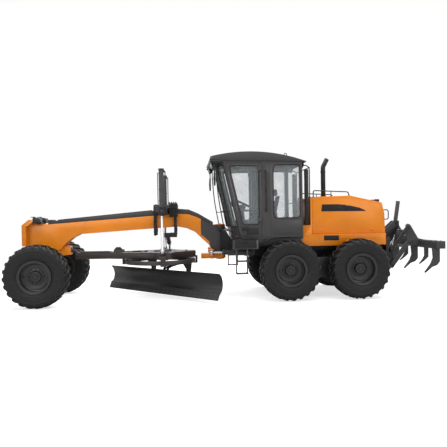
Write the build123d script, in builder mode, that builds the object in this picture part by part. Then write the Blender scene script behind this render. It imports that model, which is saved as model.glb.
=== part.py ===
from build123d import *
import os
from math import atan2, cos, degrees, hypot, radians, sin, tan

os.makedirs("parts", exist_ok=True)

# Motor grader. Millimetres, +X forward, +Y to the left, +Z up, ground at Z = 0.
# The origin is on the ground, half way along and half way across the machine.

# Overall layout
wheelbase = 6220
tandem_spacing = 1572
rear_overhang = 2780
hinge_to_tandem = 2257
tyre_diameter = 1348
tyre_width = 445
track_width = 2055

# Clearances
seat_gap = 0.3
running_gap = 0.1
moving_gap = 8

# Places that follow from the layout
wheel_radius = tyre_diameter / 2
wheel_z = wheel_radius
overall_length = wheel_radius + wheelbase + rear_overhang
front_axle_x = overall_length / 2 - wheel_radius
tandem_x = front_axle_x - wheelbase
hinge_x = tandem_x + hinge_to_tandem
tail_x = tandem_x - rear_overhang
front_tandem_x = tandem_x + tandem_spacing / 2
rear_tandem_x = tandem_x - tandem_spacing / 2
wheel_y = track_width / 2

# Wheels
rim_bead_radius = 317
rim_flange_radius = 355
rim_wall = 20
rim_flange = 14
rim_half = 198
tyre_shoulder = 34
tyre_bulge_radius = 500
hub_radius = 118
hub_out = 92
hub_in = -22
disc_wall = 24
front_disc_y = 30
rear_disc_y = -12
spindle_radius = 52

# Front frame
beam_width = 340
beam_low_front_z = 1527
beam_low_rear_z = 1665
beam_top_front_z = 1764
beam_top_mid_z = 1927
beam_top_rear_z = 1965
cover_front = 70
cover_rear = 122
nose_reach = 537
nose_low_z = 1278
nose_high_z = 1750
nose_width = 640
nose_plate = 90
tow_z = 1215
tow_hole_radius = 27
bolster_low_z = 1163

# Articulation hitch
yoke_width = 420
yoke_arm = 120
yoke_radius = 135
yoke_low_z = 895
yoke_high_z = 1690
yoke_web_x = 165
hub_block_radius = 112
hinge_pin_radius = 48
steer_eye_x = 220
steer_eye_y = 385
steer_base_x = -760
steer_base_y = 405
steer_z = 1050
steer_lug_gap = 132

# Front axle, leaning links and knuckles
axle_depth = 176
axle_low_z = 600
axle_high_z = 838
lean_y = 770
lean_z = 480
lean_bar_z = 905
axle_pin_z = 780
axle_pin_radius = 45
kingpin_y = 840
kingpin_radius = 34
kingpin_hub_radius = 62
knuckle_half = 100
steer_arm_reach = 200
steer_arm_z = 616
tie_rod_radius = 20
tie_ball_radius = 26
tie_pin_radius = 14
lean_link_half = 32
lean_eye_radius = 50
kingpin_ear = 34
lean_pin_radius = 26
lean_bar_pin_radius = 16

# Drawbar and circle
ball_x = 3718
ball_z = 1150
ball_radius = 72
neck_half = 32
socket_lip = 40
socket_half = 96
drawbar_low_z = 940
drawbar_high_z = 1090
circle_x = 1623
circle_radius = 825
circle_bore_radius = 690
circle_low_z = 818
circle_high_z = 905
lift_x = 1530
lift_y = 800
lift_ball_z = 1048
lift_ball_radius = 34

# Moldboard
blade_length = 3658
blade_angle = 46.5
blade_low_z = 90
blade_high_z = 648
blade_thick = 22
blade_top_u = 30
blade_deep_u = -70
blade_foot_u = 35
rail_heights = (310, 540)
rail_back_u = -150
rail_half = 1280
rib_v = 400
rib_half = 30
arm_v = 600
arm_half = 25
tip_u = -190
tip_z = 222
tip_pin_radius = 32
tip_base_u = -720
tip_base_z = 760
tip_eye_u = -205
tip_eye_z = 684
tip_lug_in = 46
tip_plate_half = 280
side_u = -205
side_z = 425
side_barrel_radius = 38
side_rod_radius = 20
side_barrel_near = -960
side_barrel_far = 330
side_bracket_v = 1080
side_rod_v = -320

# Blade lift saddle
saddle_front_x = 1750
saddle_rear_x = 1210
saddle_top_z = 2180
saddle_low_z = 1470
saddle_plate = 70
trunnion_z = 2030
lift_top_z = 2960
lift_fork = 160
yoke_plate = 34
yoke_back = 86

# Centre shift cylinder
shift_x = 1420
shift_base_y = 450
shift_base_z = 1480
shift_eye_y = -650
shift_eye_z = 1180
shift_ball_radius = 32
shift_fork = 112

# Hydraulic cylinders
cylinder_pin_radius = 24
gland_length = 46
gland_step = 8
barrel_cap = 34
rod_eye_step = 22
cup_step = 16
cup_length = 62

# Cab, with its corners measured from the hinge
cab_floor_z = 1360
cab_top_z = 3130
cab_half = 800
cab_front_half = 420
cab_rear_at = -1840
cab_corner_at = -435
cab_front_at = -285
cab_lean = 0.225
cab_wall = 60
roof_rear_at = -1934
roof_front_at = 240
roof_edge_z = 3150
roof_crown_z = 3318
window_low_z = 1690
window_high_z = 3030
frame_bar = 58
glass = 6

# Doors
door_rear_at = -900
door_low_z = 1404
door_high_z = 3072
door_hinge_out = 16
door_hinge_radius = 12
door_pin_radius = 7
hinge_heights = (1800, 2950)
hinge_half = 40

# Seat and console
seat_x = -850
console_x = -330

# Engine body and hood
hood_half = 680
hood_wall = 24
hood_split_z = 1438
cowl_high_z = 1650
post_high_z = 2940
bulkhead_high_z = 2280
lid_pin_z = 2316
lid_hinge_y = 400
lid_pin_radius = 10
hood_top_z = 2320
hood_front_at = -2090
hood_rear_at = -3810
body_half = 765
body_wall = 30
body_low_z = 1180
engine_height = 820
stack_at = -2560
stack_radius = 56
stack_bend_z = 3060

# Rear frame
rail_y = 240
rail_width = 100
rail_low_z = 950
deck_z = 1200
tandem_in_y = 590
tandem_wide = 160
step_front_at = -290
step_rear_at = -530
step_y = 985
step_low_z = 610
step_box_low_z = 1150
step_box_high_z = 1350
arch_high_z = 1300

# Ripper, with its pins measured from the middle of the tandem
ripper_pin_at = -1848
ripper_low_z = 640
ripper_high_z = 1013
ripper_arm_x = -436
ripper_arm_z = 571
ripper_arm_y = 350
ripper_pin_radius = 30
mast_at = -2113
mast_z = 1660
ripper_eye_at = -1993
ripper_tube_along = 0.243
ripper_lug_in = 42
mast_in = 62
mast_plate = 26
ripper_eye_z = 860
beam_half = 1080
beam_depth = 222
beam_low_z = 1075
beam_high_z = 1245

# Shank outlines, ahead of the tail and up from the beam's underside
shank_outline = (
    (265, 10), (247, -205), (307, -345), (452, -530), (442, -545), (287, -415), (172, -375), (102, -295), (102, 10),
)
scarifier_outline = (
    (187, 10), (187, -195), (237, -285), (322, -385), (312, -395), (197, -315), (97, -225), (94, 10),
)


def side_plane(y):
    """A vertical fore-and-aft plane: local x is forward and local y is up."""
    return Plane.XZ.offset(-y)


def cross_plane(x):
    """A vertical plane across the machine: local x is left and local y is up."""
    return Plane(origin=(x, 0, 0), x_dir=(0, 1, 0), z_dir=(1, 0, 0))


def polar_plane(angle):
    """An upright plane out from the circle's axis: local x is outward and local y is up."""
    turn = radians(angle)
    return Plane(origin=(circle_x, 0, 0), x_dir=(cos(turn), sin(turn), 0), z_dir=(sin(turn), -cos(turn), 0))


def save(part, label):
    """Name a finished piece and write it."""
    part.label = label
    export_step(part, f"parts/{label}.step")


# Wheels: each has a rim with its disc and hub, and a tyre that sits on the rim.
def wheel_plane(x, side):
    return Plane(origin=(x, side * wheel_y, wheel_z), x_dir=(0, side, 0), z_dir=(side, 0, 0))


def make_tyre(label, x, side):
    with BuildPart() as tyre:
        with BuildSketch(wheel_plane(x, side)):
            with BuildLine():
                half = tyre_width / 2
                Polyline(
                    (-rim_half + rim_flange, rim_bead_radius),
                    (rim_half - rim_flange, rim_bead_radius),
                    (rim_half - rim_flange, rim_flange_radius),
                    (half, tyre_bulge_radius),
                    (half - 6, wheel_radius - 2 * tyre_shoulder),
                    (half - tyre_shoulder, wheel_radius),
                    (-half + tyre_shoulder, wheel_radius),
                    (-half + 6, wheel_radius - 2 * tyre_shoulder),
                    (-half, tyre_bulge_radius),
                    (-rim_half + rim_flange, rim_flange_radius),
                    close=True,
                )
            make_face()
        revolve(axis=Axis((x, 0, wheel_z), (0, 1, 0)))
    save(tyre.part, label)


def make_rim(label, x, side, disc_y):
    with BuildPart() as rim:
        with BuildSketch(wheel_plane(x, side)):
            with BuildLine():
                inner = rim_bead_radius - rim_wall
                Polyline(
                    (-rim_half, inner),
                    (-rim_half, rim_flange_radius),
                    (-rim_half + rim_flange, rim_flange_radius),
                    (-rim_half + rim_flange, rim_bead_radius),
                    (rim_half - rim_flange, rim_bead_radius),
                    (rim_half - rim_flange, rim_flange_radius),
                    (rim_half, rim_flange_radius),
                    (rim_half, inner),
                    (disc_y + 2 * disc_wall, inner),
                    (disc_y + disc_wall, hub_radius + 60),
                    (disc_y + disc_wall, hub_radius),
                    (hub_out - 14, hub_radius),
                    (hub_out, hub_radius - 14),
                    (hub_out, 0),
                    (hub_out - 30, 0),
                    (hub_out - 30, spindle_radius + running_gap),
                    (hub_in, spindle_radius + running_gap),
                    (hub_in, hub_radius - 20),
                    (disc_y, hub_radius),
                    (disc_y, hub_radius + 60),
                    (disc_y + disc_wall, inner),
                    close=True,
                )
            make_face()
        revolve(axis=Axis((x, 0, wheel_z), (0, 1, 0)))
    save(rim.part, label)


wheels = {
    "front": (front_axle_x, front_disc_y),
    "mid": (front_tandem_x, rear_disc_y),
    "rear": (rear_tandem_x, rear_disc_y),
}
for row, (x, disc_y) in wheels.items():
    for name, side in (("left", 1), ("right", -1)):
        make_tyre(f"tyre_{row}_{name}", x, side)
        make_rim(f"rim_{row}_{name}", x, side, disc_y)

# Front frame: a box beam, the nose plate, the bolster over the axle and the hitch yoke.
nose_x = front_axle_x + nose_reach
beam_rear_x = hinge_x + 230
neck_x = hinge_x + 730
beam_top = (
    (front_axle_x, beam_top_front_z),
    (saddle_front_x, beam_top_mid_z),
    (saddle_rear_x, beam_top_rear_z),
    (neck_x, beam_top_rear_z - 15),
    (hinge_x + 514, beam_top_rear_z - 99),
    (hinge_x + yoke_web_x, yoke_high_z),
)
with BuildPart() as front_frame:
    with BuildSketch(side_plane(0)):
        with BuildLine():
            low = Polyline(
                (hinge_x + yoke_web_x, yoke_low_z),
                (beam_rear_x, yoke_low_z),
                (beam_rear_x, 1187),
                (hinge_x + 429, 1373),
                (hinge_x + 594, 1534),
                (hinge_x + 785, 1622),
                (hinge_x + 1000, beam_low_rear_z),
                (front_axle_x - 681, beam_low_front_z),
            )
            arch = ThreePointArc(
                (front_axle_x - 681, beam_low_front_z),
                (front_axle_x - 385, 1321),
                (front_axle_x - 247, bolster_low_z),
            )
            Polyline(
                (front_axle_x - 247, bolster_low_z),
                (front_axle_x + 330, bolster_low_z),
                (nose_x - nose_plate, nose_low_z),
                (nose_x - nose_plate, nose_high_z + 60),
                (front_axle_x + 300, beam_top_front_z + 20),
                *beam_top,
                (hinge_x + yoke_web_x, yoke_low_z),
            )
        make_face()
    extrude(amount=beam_width / 2, both=True)
    # Nose plate
    with BuildSketch(side_plane(0)):
        with BuildLine():
            Polyline(
                (nose_x, nose_low_z),
                (nose_x, nose_high_z),
                (nose_x - 160, nose_high_z + 130),
                (nose_x - 260, nose_high_z + 90),
                (nose_x - nose_plate, nose_high_z - 40),
                (nose_x - nose_plate, nose_low_z),
                close=True,
            )
        make_face()
    extrude(amount=nose_width / 2, both=True)
    # Tow eye below the nose plate
    with BuildSketch(side_plane(0)):
        with BuildLine():
            Polyline(
                (nose_x - nose_plate - 60, nose_low_z + 30),
                (nose_x - 10, nose_low_z + 30),
                (nose_x - 24, tow_z),
                (nose_x - 136, tow_z),
                close=True,
            )
        make_face()
        with Locations((nose_x - 80, tow_z)):
            Circle(56)
        with Locations((nose_x - 80, tow_z)):
            Circle(tow_hole_radius, mode=Mode.SUBTRACT)
    extrude(amount=30, both=True)
    # Hitch yoke arms with their pin
    for z in (yoke_low_z, yoke_high_z - yoke_arm):
        with BuildSketch(Plane.XY.offset(z)):
            with Locations((hinge_x, 0)):
                Circle(yoke_radius)
            with Locations((hinge_x + yoke_web_x + 60, 0)):
                Rectangle(2 * (yoke_web_x + 60), 2 * yoke_radius)
        extrude(amount=yoke_arm)
    with BuildSketch(Plane.XY.offset(yoke_low_z)):
        with Locations((hinge_x, 0)):
            Circle(hinge_pin_radius)
    extrude(amount=yoke_high_z - yoke_low_z)
    # Side cheeks of the hitch
    with BuildSketch(side_plane(0)):
        with BuildLine():
            Polyline(
                (hinge_x + yoke_web_x, yoke_low_z),
                (beam_rear_x, yoke_low_z),
                (beam_rear_x, 1187),
                (hinge_x + 429, 1373),
                (hinge_x + 429, beam_top_rear_z - 150),
                (hinge_x + yoke_web_x, yoke_high_z - 20),
                close=True,
            )
        make_face()
    extrude(amount=yoke_width / 2, both=True)
    # Lugs of the articulation cylinders
    for side in (1, -1):
        for z in (steer_z + 48, steer_z - 74):
            with BuildSketch(Plane.XY.offset(z)):
                with Locations((hinge_x + steer_eye_x, side * steer_eye_y)):
                    Circle(58)
                with Locations((hinge_x + steer_eye_x, side * (steer_eye_y + yoke_width / 2) / 2)):
                    Rectangle(116, steer_eye_y - yoke_width / 2 + 20)
            extrude(amount=26)
    # Bolster cheeks that carry the axle
    for x in (-axle_depth / 2 - 44, axle_depth / 2 + 8):
        with BuildSketch(cross_plane(front_axle_x + x)):
            with BuildLine():
                Polyline(
                    (-beam_width / 2, bolster_low_z + 20),
                    (-110, axle_pin_z - 80),
                    (110, axle_pin_z - 80),
                    (beam_width / 2, bolster_low_z + 20),
                    close=True,
                )
            make_face()
            with Locations((0, axle_pin_z)):
                Circle(axle_pin_radius + seat_gap, mode=Mode.SUBTRACT)
        extrude(amount=36)
    # Socket of the drawbar ball, open to the rear for its neck
    with BuildSketch(side_plane(0)):
        with BuildLine():
            Polyline(
                (ball_x - socket_lip, ball_z - socket_half),
                (ball_x - socket_lip, ball_z + socket_half),
                (ball_x + 190, ball_z + socket_half + 30),
                (front_axle_x - axle_depth / 2 - 20, bolster_low_z + 20),
                (front_axle_x - axle_depth / 2 - 20, 900),
                (ball_x + 260, ball_z - socket_half - 30),
                close=True,
            )
        make_face()
    extrude(amount=socket_half, both=True)
    with Locations((ball_x, 0, ball_z)):
        Sphere(ball_radius + seat_gap, mode=Mode.SUBTRACT)
save(front_frame.part, "front_frame")

# Steel pipe cover along the top of the beam
cover_rise = (cover_front, cover_rear, cover_rear, cover_rear - 10, cover_rear - 20, cover_front)
with BuildPart() as pipe_cover:
    with BuildSketch(side_plane(0)):
        with BuildLine():
            Polyline(
                *beam_top,
                *reversed([(x, z + rise) for (x, z), rise in zip(beam_top, cover_rise)]),
                close=True,
            )
        make_face()
    extrude(amount=beam_width / 2 - 20, both=True)
save(pipe_cover.part, "pipe_cover")

# Lift saddle: cheeks that hug the beam, with an arm out to each lift cylinder
saddle_mid_x = (saddle_front_x + saddle_rear_x) / 2
saddle_half = beam_width / 2 + 60
saddle_block_z = beam_top_rear_z + cover_rear + 10
with BuildPart() as saddle:
    for x in (saddle_rear_x, saddle_front_x - saddle_plate):
        with BuildSketch(cross_plane(x)):
            with Locations((0, (saddle_top_z + saddle_low_z) / 2)):
                Rectangle(2 * saddle_half, saddle_top_z - saddle_low_z)
            with BuildLine(mode=Mode.PRIVATE) as hollow:
                Polyline(
                    (-beam_width / 2 - seat_gap, saddle_low_z + 80),
                    (-beam_width / 2 - seat_gap, saddle_block_z),
                    (beam_width / 2 + seat_gap, saddle_block_z),
                    (beam_width / 2 + seat_gap, saddle_low_z + 80),
                    close=True,
                )
            make_face(hollow.edges(), mode=Mode.SUBTRACT)
        extrude(amount=saddle_plate)
    # Top block, side arms and the link bar below the beam
    with BuildSketch(Plane.XY.offset(saddle_block_z)):
        with Locations((saddle_mid_x, 0)):
            Rectangle(saddle_front_x - saddle_rear_x, 2 * saddle_half)
    extrude(amount=saddle_top_z - saddle_block_z)
    for side in (1, -1):
        for y in (lift_y - lift_fork / 2 - yoke_plate, lift_y + lift_fork / 2):
            with BuildSketch(side_plane(side * y)):
                with Locations((lift_x - 30, trunnion_z)):
                    Rectangle(180, 150)
                with Locations((lift_x, trunnion_z)):
                    Circle(cylinder_pin_radius + running_gap, mode=Mode.SUBTRACT)
            extrude(amount=-side * yoke_plate)
        with BuildSketch(cross_plane(lift_x - yoke_back)):
            with Locations((side * (saddle_half + lift_y + lift_fork / 2 + yoke_plate) / 2, trunnion_z)):
                Rectangle(lift_y + lift_fork / 2 + yoke_plate - saddle_half, 150)
        extrude(amount=-yoke_plate)
        with BuildSketch(side_plane(side * saddle_half)):
            with Locations((lift_x - 30, trunnion_z)):
                Rectangle(180, 110)
        extrude(amount=-side * (lift_y - lift_fork / 2 - saddle_half))
        with BuildSketch(side_plane(side * (beam_width / 2 + seat_gap))):
            with Locations((saddle_mid_x, trunnion_z)):
                Rectangle(saddle_front_x - saddle_rear_x, 150)
        extrude(amount=-side * (saddle_half + 60 - beam_width / 2))
        with BuildSketch(side_plane(side * saddle_half)):
            with Locations((lift_x, trunnion_z)):
                Circle(cylinder_pin_radius + running_gap)
        extrude(amount=-side * (lift_y + lift_fork / 2 + yoke_plate - saddle_half), mode=Mode.SUBTRACT)
    # Fork of the centre shift cylinder, out to the left of the rear cheek
    fork_front_x = shift_x + shift_fork / 2 + 24
    fork_out_y = shift_base_y + 110
    with BuildSketch(Plane.XY.offset(shift_base_z - 50)):
        with Locations(((saddle_rear_x + fork_front_x) / 2, (saddle_half + fork_out_y) / 2)):
            Rectangle(fork_front_x - saddle_rear_x, fork_out_y - saddle_half + 20)
        with Locations((shift_x, shift_base_y - 200)):
            Rectangle(shift_fork, 520, mode=Mode.SUBTRACT)
    extrude(amount=100)
    with BuildSketch(cross_plane(shift_x)):
        with Locations((shift_base_y, shift_base_z)):
            Circle(cylinder_pin_radius)
    extrude(amount=shift_fork / 2 + 5, both=True)
save(saddle.part, "lift_saddle")

# Hydraulic cylinders: a barrel with its base eye or trunnion, and a rod with its eye.
def cylinder_pair(name, base, eye, span, rod_at, pin, radii, widths, trunnion=False, ball=0):
    """Make a barrel and its rod on the line from base to eye.

    span gives where the barrel starts and ends along that line, and rod_at where
    the rod ends inside it. radii are those of the barrel and the rod, pin is the
    way both eyes' pins lie, and widths are how wide the base and the eye are
    along it. With ball given, the rod ends in a cup just short of a ball that big.
    """
    start = Vector(*base)
    end = Vector(*eye)
    way = (end - start).normalized()
    across = Vector(*pin).normalized()
    barrel_radius, rod_radius = radii
    first, last = span
    base_width, eye_width = widths
    with BuildPart() as barrel:
        with BuildSketch(Plane(origin=start + way * first, z_dir=way)):
            Circle(barrel_radius)
        extrude(amount=last - first)
        with BuildSketch(Plane(origin=start + way * (last - gland_length), z_dir=way)):
            Circle(barrel_radius + gland_step)
        extrude(amount=gland_length)
        if trunnion:
            with BuildSketch(Plane(origin=start - way * barrel_radius, z_dir=way)):
                Circle(barrel_radius + gland_step + 4)
            extrude(amount=2 * barrel_radius)
            with BuildSketch(Plane(origin=start, z_dir=across)):
                Circle(cylinder_pin_radius)
            extrude(amount=base_width / 2, both=True)
        else:
            with BuildSketch(Plane(origin=start, z_dir=across)):
                Circle(barrel_radius + 2)
            extrude(amount=base_width / 2, both=True)
            with BuildSketch(Plane(origin=start, z_dir=across)):
                Circle(cylinder_pin_radius + running_gap)
            extrude(amount=base_width / 2, both=True, mode=Mode.SUBTRACT)
        with BuildSketch(Plane(origin=start + way * (first + barrel_cap), z_dir=way)):
            Circle(rod_radius + running_gap)
        extrude(amount=last - first, mode=Mode.SUBTRACT)
    save(barrel.part, f"{name}_barrel")
    if ball:
        end = end - way * (ball + moving_gap)
    with BuildPart() as piston_rod:
        with BuildSketch(Plane(origin=start + way * rod_at, z_dir=way)):
            Circle(rod_radius)
        extrude(amount=(end - start).length - rod_at)
        if ball:
            with BuildSketch(Plane(origin=end - way * cup_length, z_dir=way)):
                Circle(rod_radius + cup_step)
            extrude(amount=cup_length)
        else:
            with BuildSketch(Plane(origin=end, z_dir=across)):
                Circle(rod_radius + rod_eye_step)
            extrude(amount=eye_width / 2, both=True)
    save(piston_rod.part, f"{name}_rod")


# Articulation cylinders, from the rear frame to the hitch yoke
for name, side in (("left", 1), ("right", -1)):
    cylinder_pair(
        f"articulation_{name}",
        (hinge_x + steer_base_x, side * steer_base_y, steer_z),
        (hinge_x + steer_eye_x, side * steer_eye_y, steer_z),
        (40, 730),
        252,
        (0, 0, 1),
        (56, 26),
        (steer_lug_gap - 8, 76),
    )

# Blade lift cylinders, hung upright in the saddle's arms
for name, side in (("left", 1), ("right", -1)):
    cylinder_pair(
        f"lift_{name}",
        (lift_x, side * lift_y, trunnion_z),
        (lift_x, side * lift_y, lift_ball_z),
        (trunnion_z - lift_top_z, 110),
        -445,
        (0, 1, 0),
        (56, 30),
        (lift_fork + 2 * yoke_plate, 0),
        trunnion=True,
        ball=lift_ball_radius,
    )

# Centre shift cylinder, from the saddle's left to the right side of the drawbar
cylinder_pair(
    "shift",
    (shift_x, shift_base_y, shift_base_z),
    (shift_x, shift_eye_y, shift_eye_z),
    (40, 760),
    220,
    (1, 0, 0),
    (48, 26),
    (shift_fork - 8, 0),
    ball=shift_ball_radius,
)

# Front axle: an arched beam with a fork at each end for the leaning links
with BuildPart() as front_axle:
    with BuildSketch(cross_plane(front_axle_x)):
        with BuildLine():
            Polyline(
                (-lean_y, lean_z + lean_eye_radius),
                (-560, 670),
                (-330, axle_high_z),
                (330, axle_high_z),
                (560, 670),
                (lean_y, lean_z + lean_eye_radius),
                (lean_y, lean_z - lean_eye_radius),
                (lean_y - 90, lean_z - 30),
                (430, axle_low_z),
                (-430, axle_low_z),
                (-lean_y + 90, lean_z - 30),
                (-lean_y, lean_z - lean_eye_radius),
                close=True,
            )
        make_face()
    extrude(amount=axle_depth / 2, both=True)
    for side in (1, -1):
        # Fork end, with the lean pin left standing across it
        with BuildSketch(cross_plane(front_axle_x)):
            with Locations((side * lean_y, lean_z)):
                Circle(lean_eye_radius)
        extrude(amount=axle_depth / 2, both=True)
        with BuildSketch(cross_plane(front_axle_x)):
            with Locations((side * (lean_y + 20), lean_z + 30)):
                Rectangle(240, 400)
        extrude(amount=lean_link_half + 5, both=True, mode=Mode.SUBTRACT)
        with BuildSketch(cross_plane(front_axle_x)):
            with Locations((side * lean_y, lean_z)):
                Circle(lean_pin_radius)
        extrude(amount=axle_depth / 2, both=True)
    # Pin on which the axle hangs in the bolster
    with BuildSketch(cross_plane(front_axle_x)):
        with Locations((0, axle_pin_z)):
            Circle(axle_pin_radius)
    extrude(amount=axle_depth / 2 + 44, both=True)
save(front_axle.part, "front_axle")

# Leaning links, which carry the kingpins and are tied together by the lean bar
for name, side in (("left", 1), ("right", -1)):
    with BuildPart() as lean_link:
        with BuildSketch(cross_plane(front_axle_x)):
            with Locations((side * lean_y, lean_z)):
                Circle(lean_eye_radius)
            with Locations((side * lean_y, lean_bar_z)):
                Circle(34)
            with BuildLine():
                Polyline(
                    (side * (lean_y - 28), lean_z),
                    (side * (lean_y - 28), lean_bar_z),
                    (side * (lean_y + 16), lean_bar_z),
                    (side * lean_y, wheel_z + knuckle_half + 46),
                    (side * lean_y, wheel_z - knuckle_half - 40),
                    (side * (lean_y + 28), lean_z),
                    close=True,
                )
            make_face()
        extrude(amount=lean_link_half, both=True)
        # Ears above and below the knuckle, with the kingpin through both
        for z in (wheel_z + knuckle_half + 5, wheel_z - knuckle_half - 5 - kingpin_ear):
            with BuildSketch(Plane.XY.offset(z)):
                with Locations((front_axle_x, side * kingpin_y)):
                    Circle(54)
                with Locations((front_axle_x, side * (kingpin_y + lean_y) / 2)):
                    Rectangle(2 * lean_link_half, kingpin_y - lean_y + 30)
            extrude(amount=kingpin_ear)
        with BuildSketch(Plane.XY.offset(wheel_z - knuckle_half - 5 - kingpin_ear)):
            with Locations((front_axle_x, side * kingpin_y)):
                Circle(kingpin_radius)
        extrude(amount=2 * (knuckle_half + 5 + kingpin_ear))
        # Holes for the lean pin and the bar's pin
        for z, radius in ((lean_z, lean_pin_radius), (lean_bar_z, lean_bar_pin_radius)):
            with BuildSketch(cross_plane(front_axle_x)):
                with Locations((side * lean_y, z)):
                    Circle(radius + running_gap)
            extrude(amount=lean_link_half, both=True, mode=Mode.SUBTRACT)
    save(lean_link.part, f"lean_link_{name}")

with BuildPart() as lean_bar:
    with BuildSketch(side_plane(0)):
        with Locations((front_axle_x, lean_bar_z)):
            Circle(24)
    extrude(amount=lean_y - 60, both=True)
    for side in (1, -1):
        # A fork at each end takes the link, with the pin left standing across it
        with BuildSketch(cross_plane(front_axle_x)):
            with Locations((side * (lean_y - 22), lean_bar_z)):
                Rectangle(88, 56)
        extrude(amount=lean_link_half + 22, both=True)
        with BuildSketch(cross_plane(front_axle_x)):
            with Locations((side * (lean_y + 10), lean_bar_z)):
                Rectangle(100, 100)
        extrude(amount=lean_link_half + 5, both=True, mode=Mode.SUBTRACT)
        with BuildSketch(cross_plane(front_axle_x)):
            with Locations((side * lean_y, lean_bar_z)):
                Circle(lean_bar_pin_radius)
        extrude(amount=lean_link_half + 22, both=True)
save(lean_bar.part, "lean_bar")

# Knuckles, with the spindle, the steering arm and its stub for the tie rod
for name, side in (("left", 1), ("right", -1)):
    with BuildPart() as knuckle:
        with BuildSketch(Plane.XY.offset(wheel_z - knuckle_half)):
            with Locations((front_axle_x, side * kingpin_y)):
                Circle(kingpin_hub_radius)
        extrude(amount=2 * knuckle_half)
        with BuildSketch(side_plane(side * kingpin_y)):
            with Locations((front_axle_x, wheel_z)):
                Circle(spindle_radius)
        extrude(amount=-side * (wheel_y + hub_out - 32 - kingpin_y))
        with BuildSketch(side_plane(side * kingpin_y)):
            with Locations((front_axle_x, wheel_z)):
                Circle(spindle_radius + 26)
        extrude(amount=-side * (wheel_y + hub_in - 4 - kingpin_y))
        with BuildSketch(Plane.XY.offset(steer_arm_z)):
            with Locations((front_axle_x - steer_arm_reach / 2, side * kingpin_y)):
                Rectangle(steer_arm_reach, 40)
            with Locations((front_axle_x - steer_arm_reach, side * kingpin_y)):
                Circle(30)
        extrude(amount=34)
        with BuildSketch(Plane.XY.offset(wheel_z - knuckle_half)):
            with Locations((front_axle_x, side * kingpin_y)):
                Circle(kingpin_radius + running_gap)
        extrude(amount=2 * knuckle_half, mode=Mode.SUBTRACT)
        if side == 1:
            with BuildSketch(Plane.XY.offset(steer_arm_z)):
                with Locations((front_axle_x - steer_arm_reach, side * kingpin_y)):
                    Circle(tie_pin_radius + running_gap)
            extrude(amount=34, mode=Mode.SUBTRACT)
    save(knuckle.part, f"knuckle_{name}")

# Tie rod, held at its left end by a swivel so that it stays level as the wheels steer and lean
tie_z = steer_arm_z - 40
with BuildPart() as tie_swivel:
    with Locations((front_axle_x - steer_arm_reach, kingpin_y, tie_z)):
        Sphere(tie_ball_radius)
    with BuildSketch(Plane.XY.offset(tie_z)):
        with Locations((front_axle_x - steer_arm_reach, kingpin_y)):
            Circle(tie_pin_radius)
    extrude(amount=steer_arm_z + 34 - tie_z)
save(tie_swivel.part, "tie_rod_swivel")

with BuildPart() as tie_rod:
    with BuildSketch(side_plane(0)):
        with Locations((front_axle_x - steer_arm_reach, tie_z)):
            Circle(tie_rod_radius)
    extrude(amount=kingpin_y - 20, both=True)
    for side in (1, -1):
        with Locations((front_axle_x - steer_arm_reach, side * kingpin_y, tie_z)):
            Cylinder(34, 2 * tie_ball_radius - 10)
    with Locations((front_axle_x - steer_arm_reach, kingpin_y, tie_z)):
        Sphere(tie_ball_radius + running_gap, mode=Mode.SUBTRACT)
        Cylinder(tie_pin_radius + 8, 2 * tie_ball_radius, mode=Mode.SUBTRACT)
save(tie_rod.part, "tie_rod")

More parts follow.
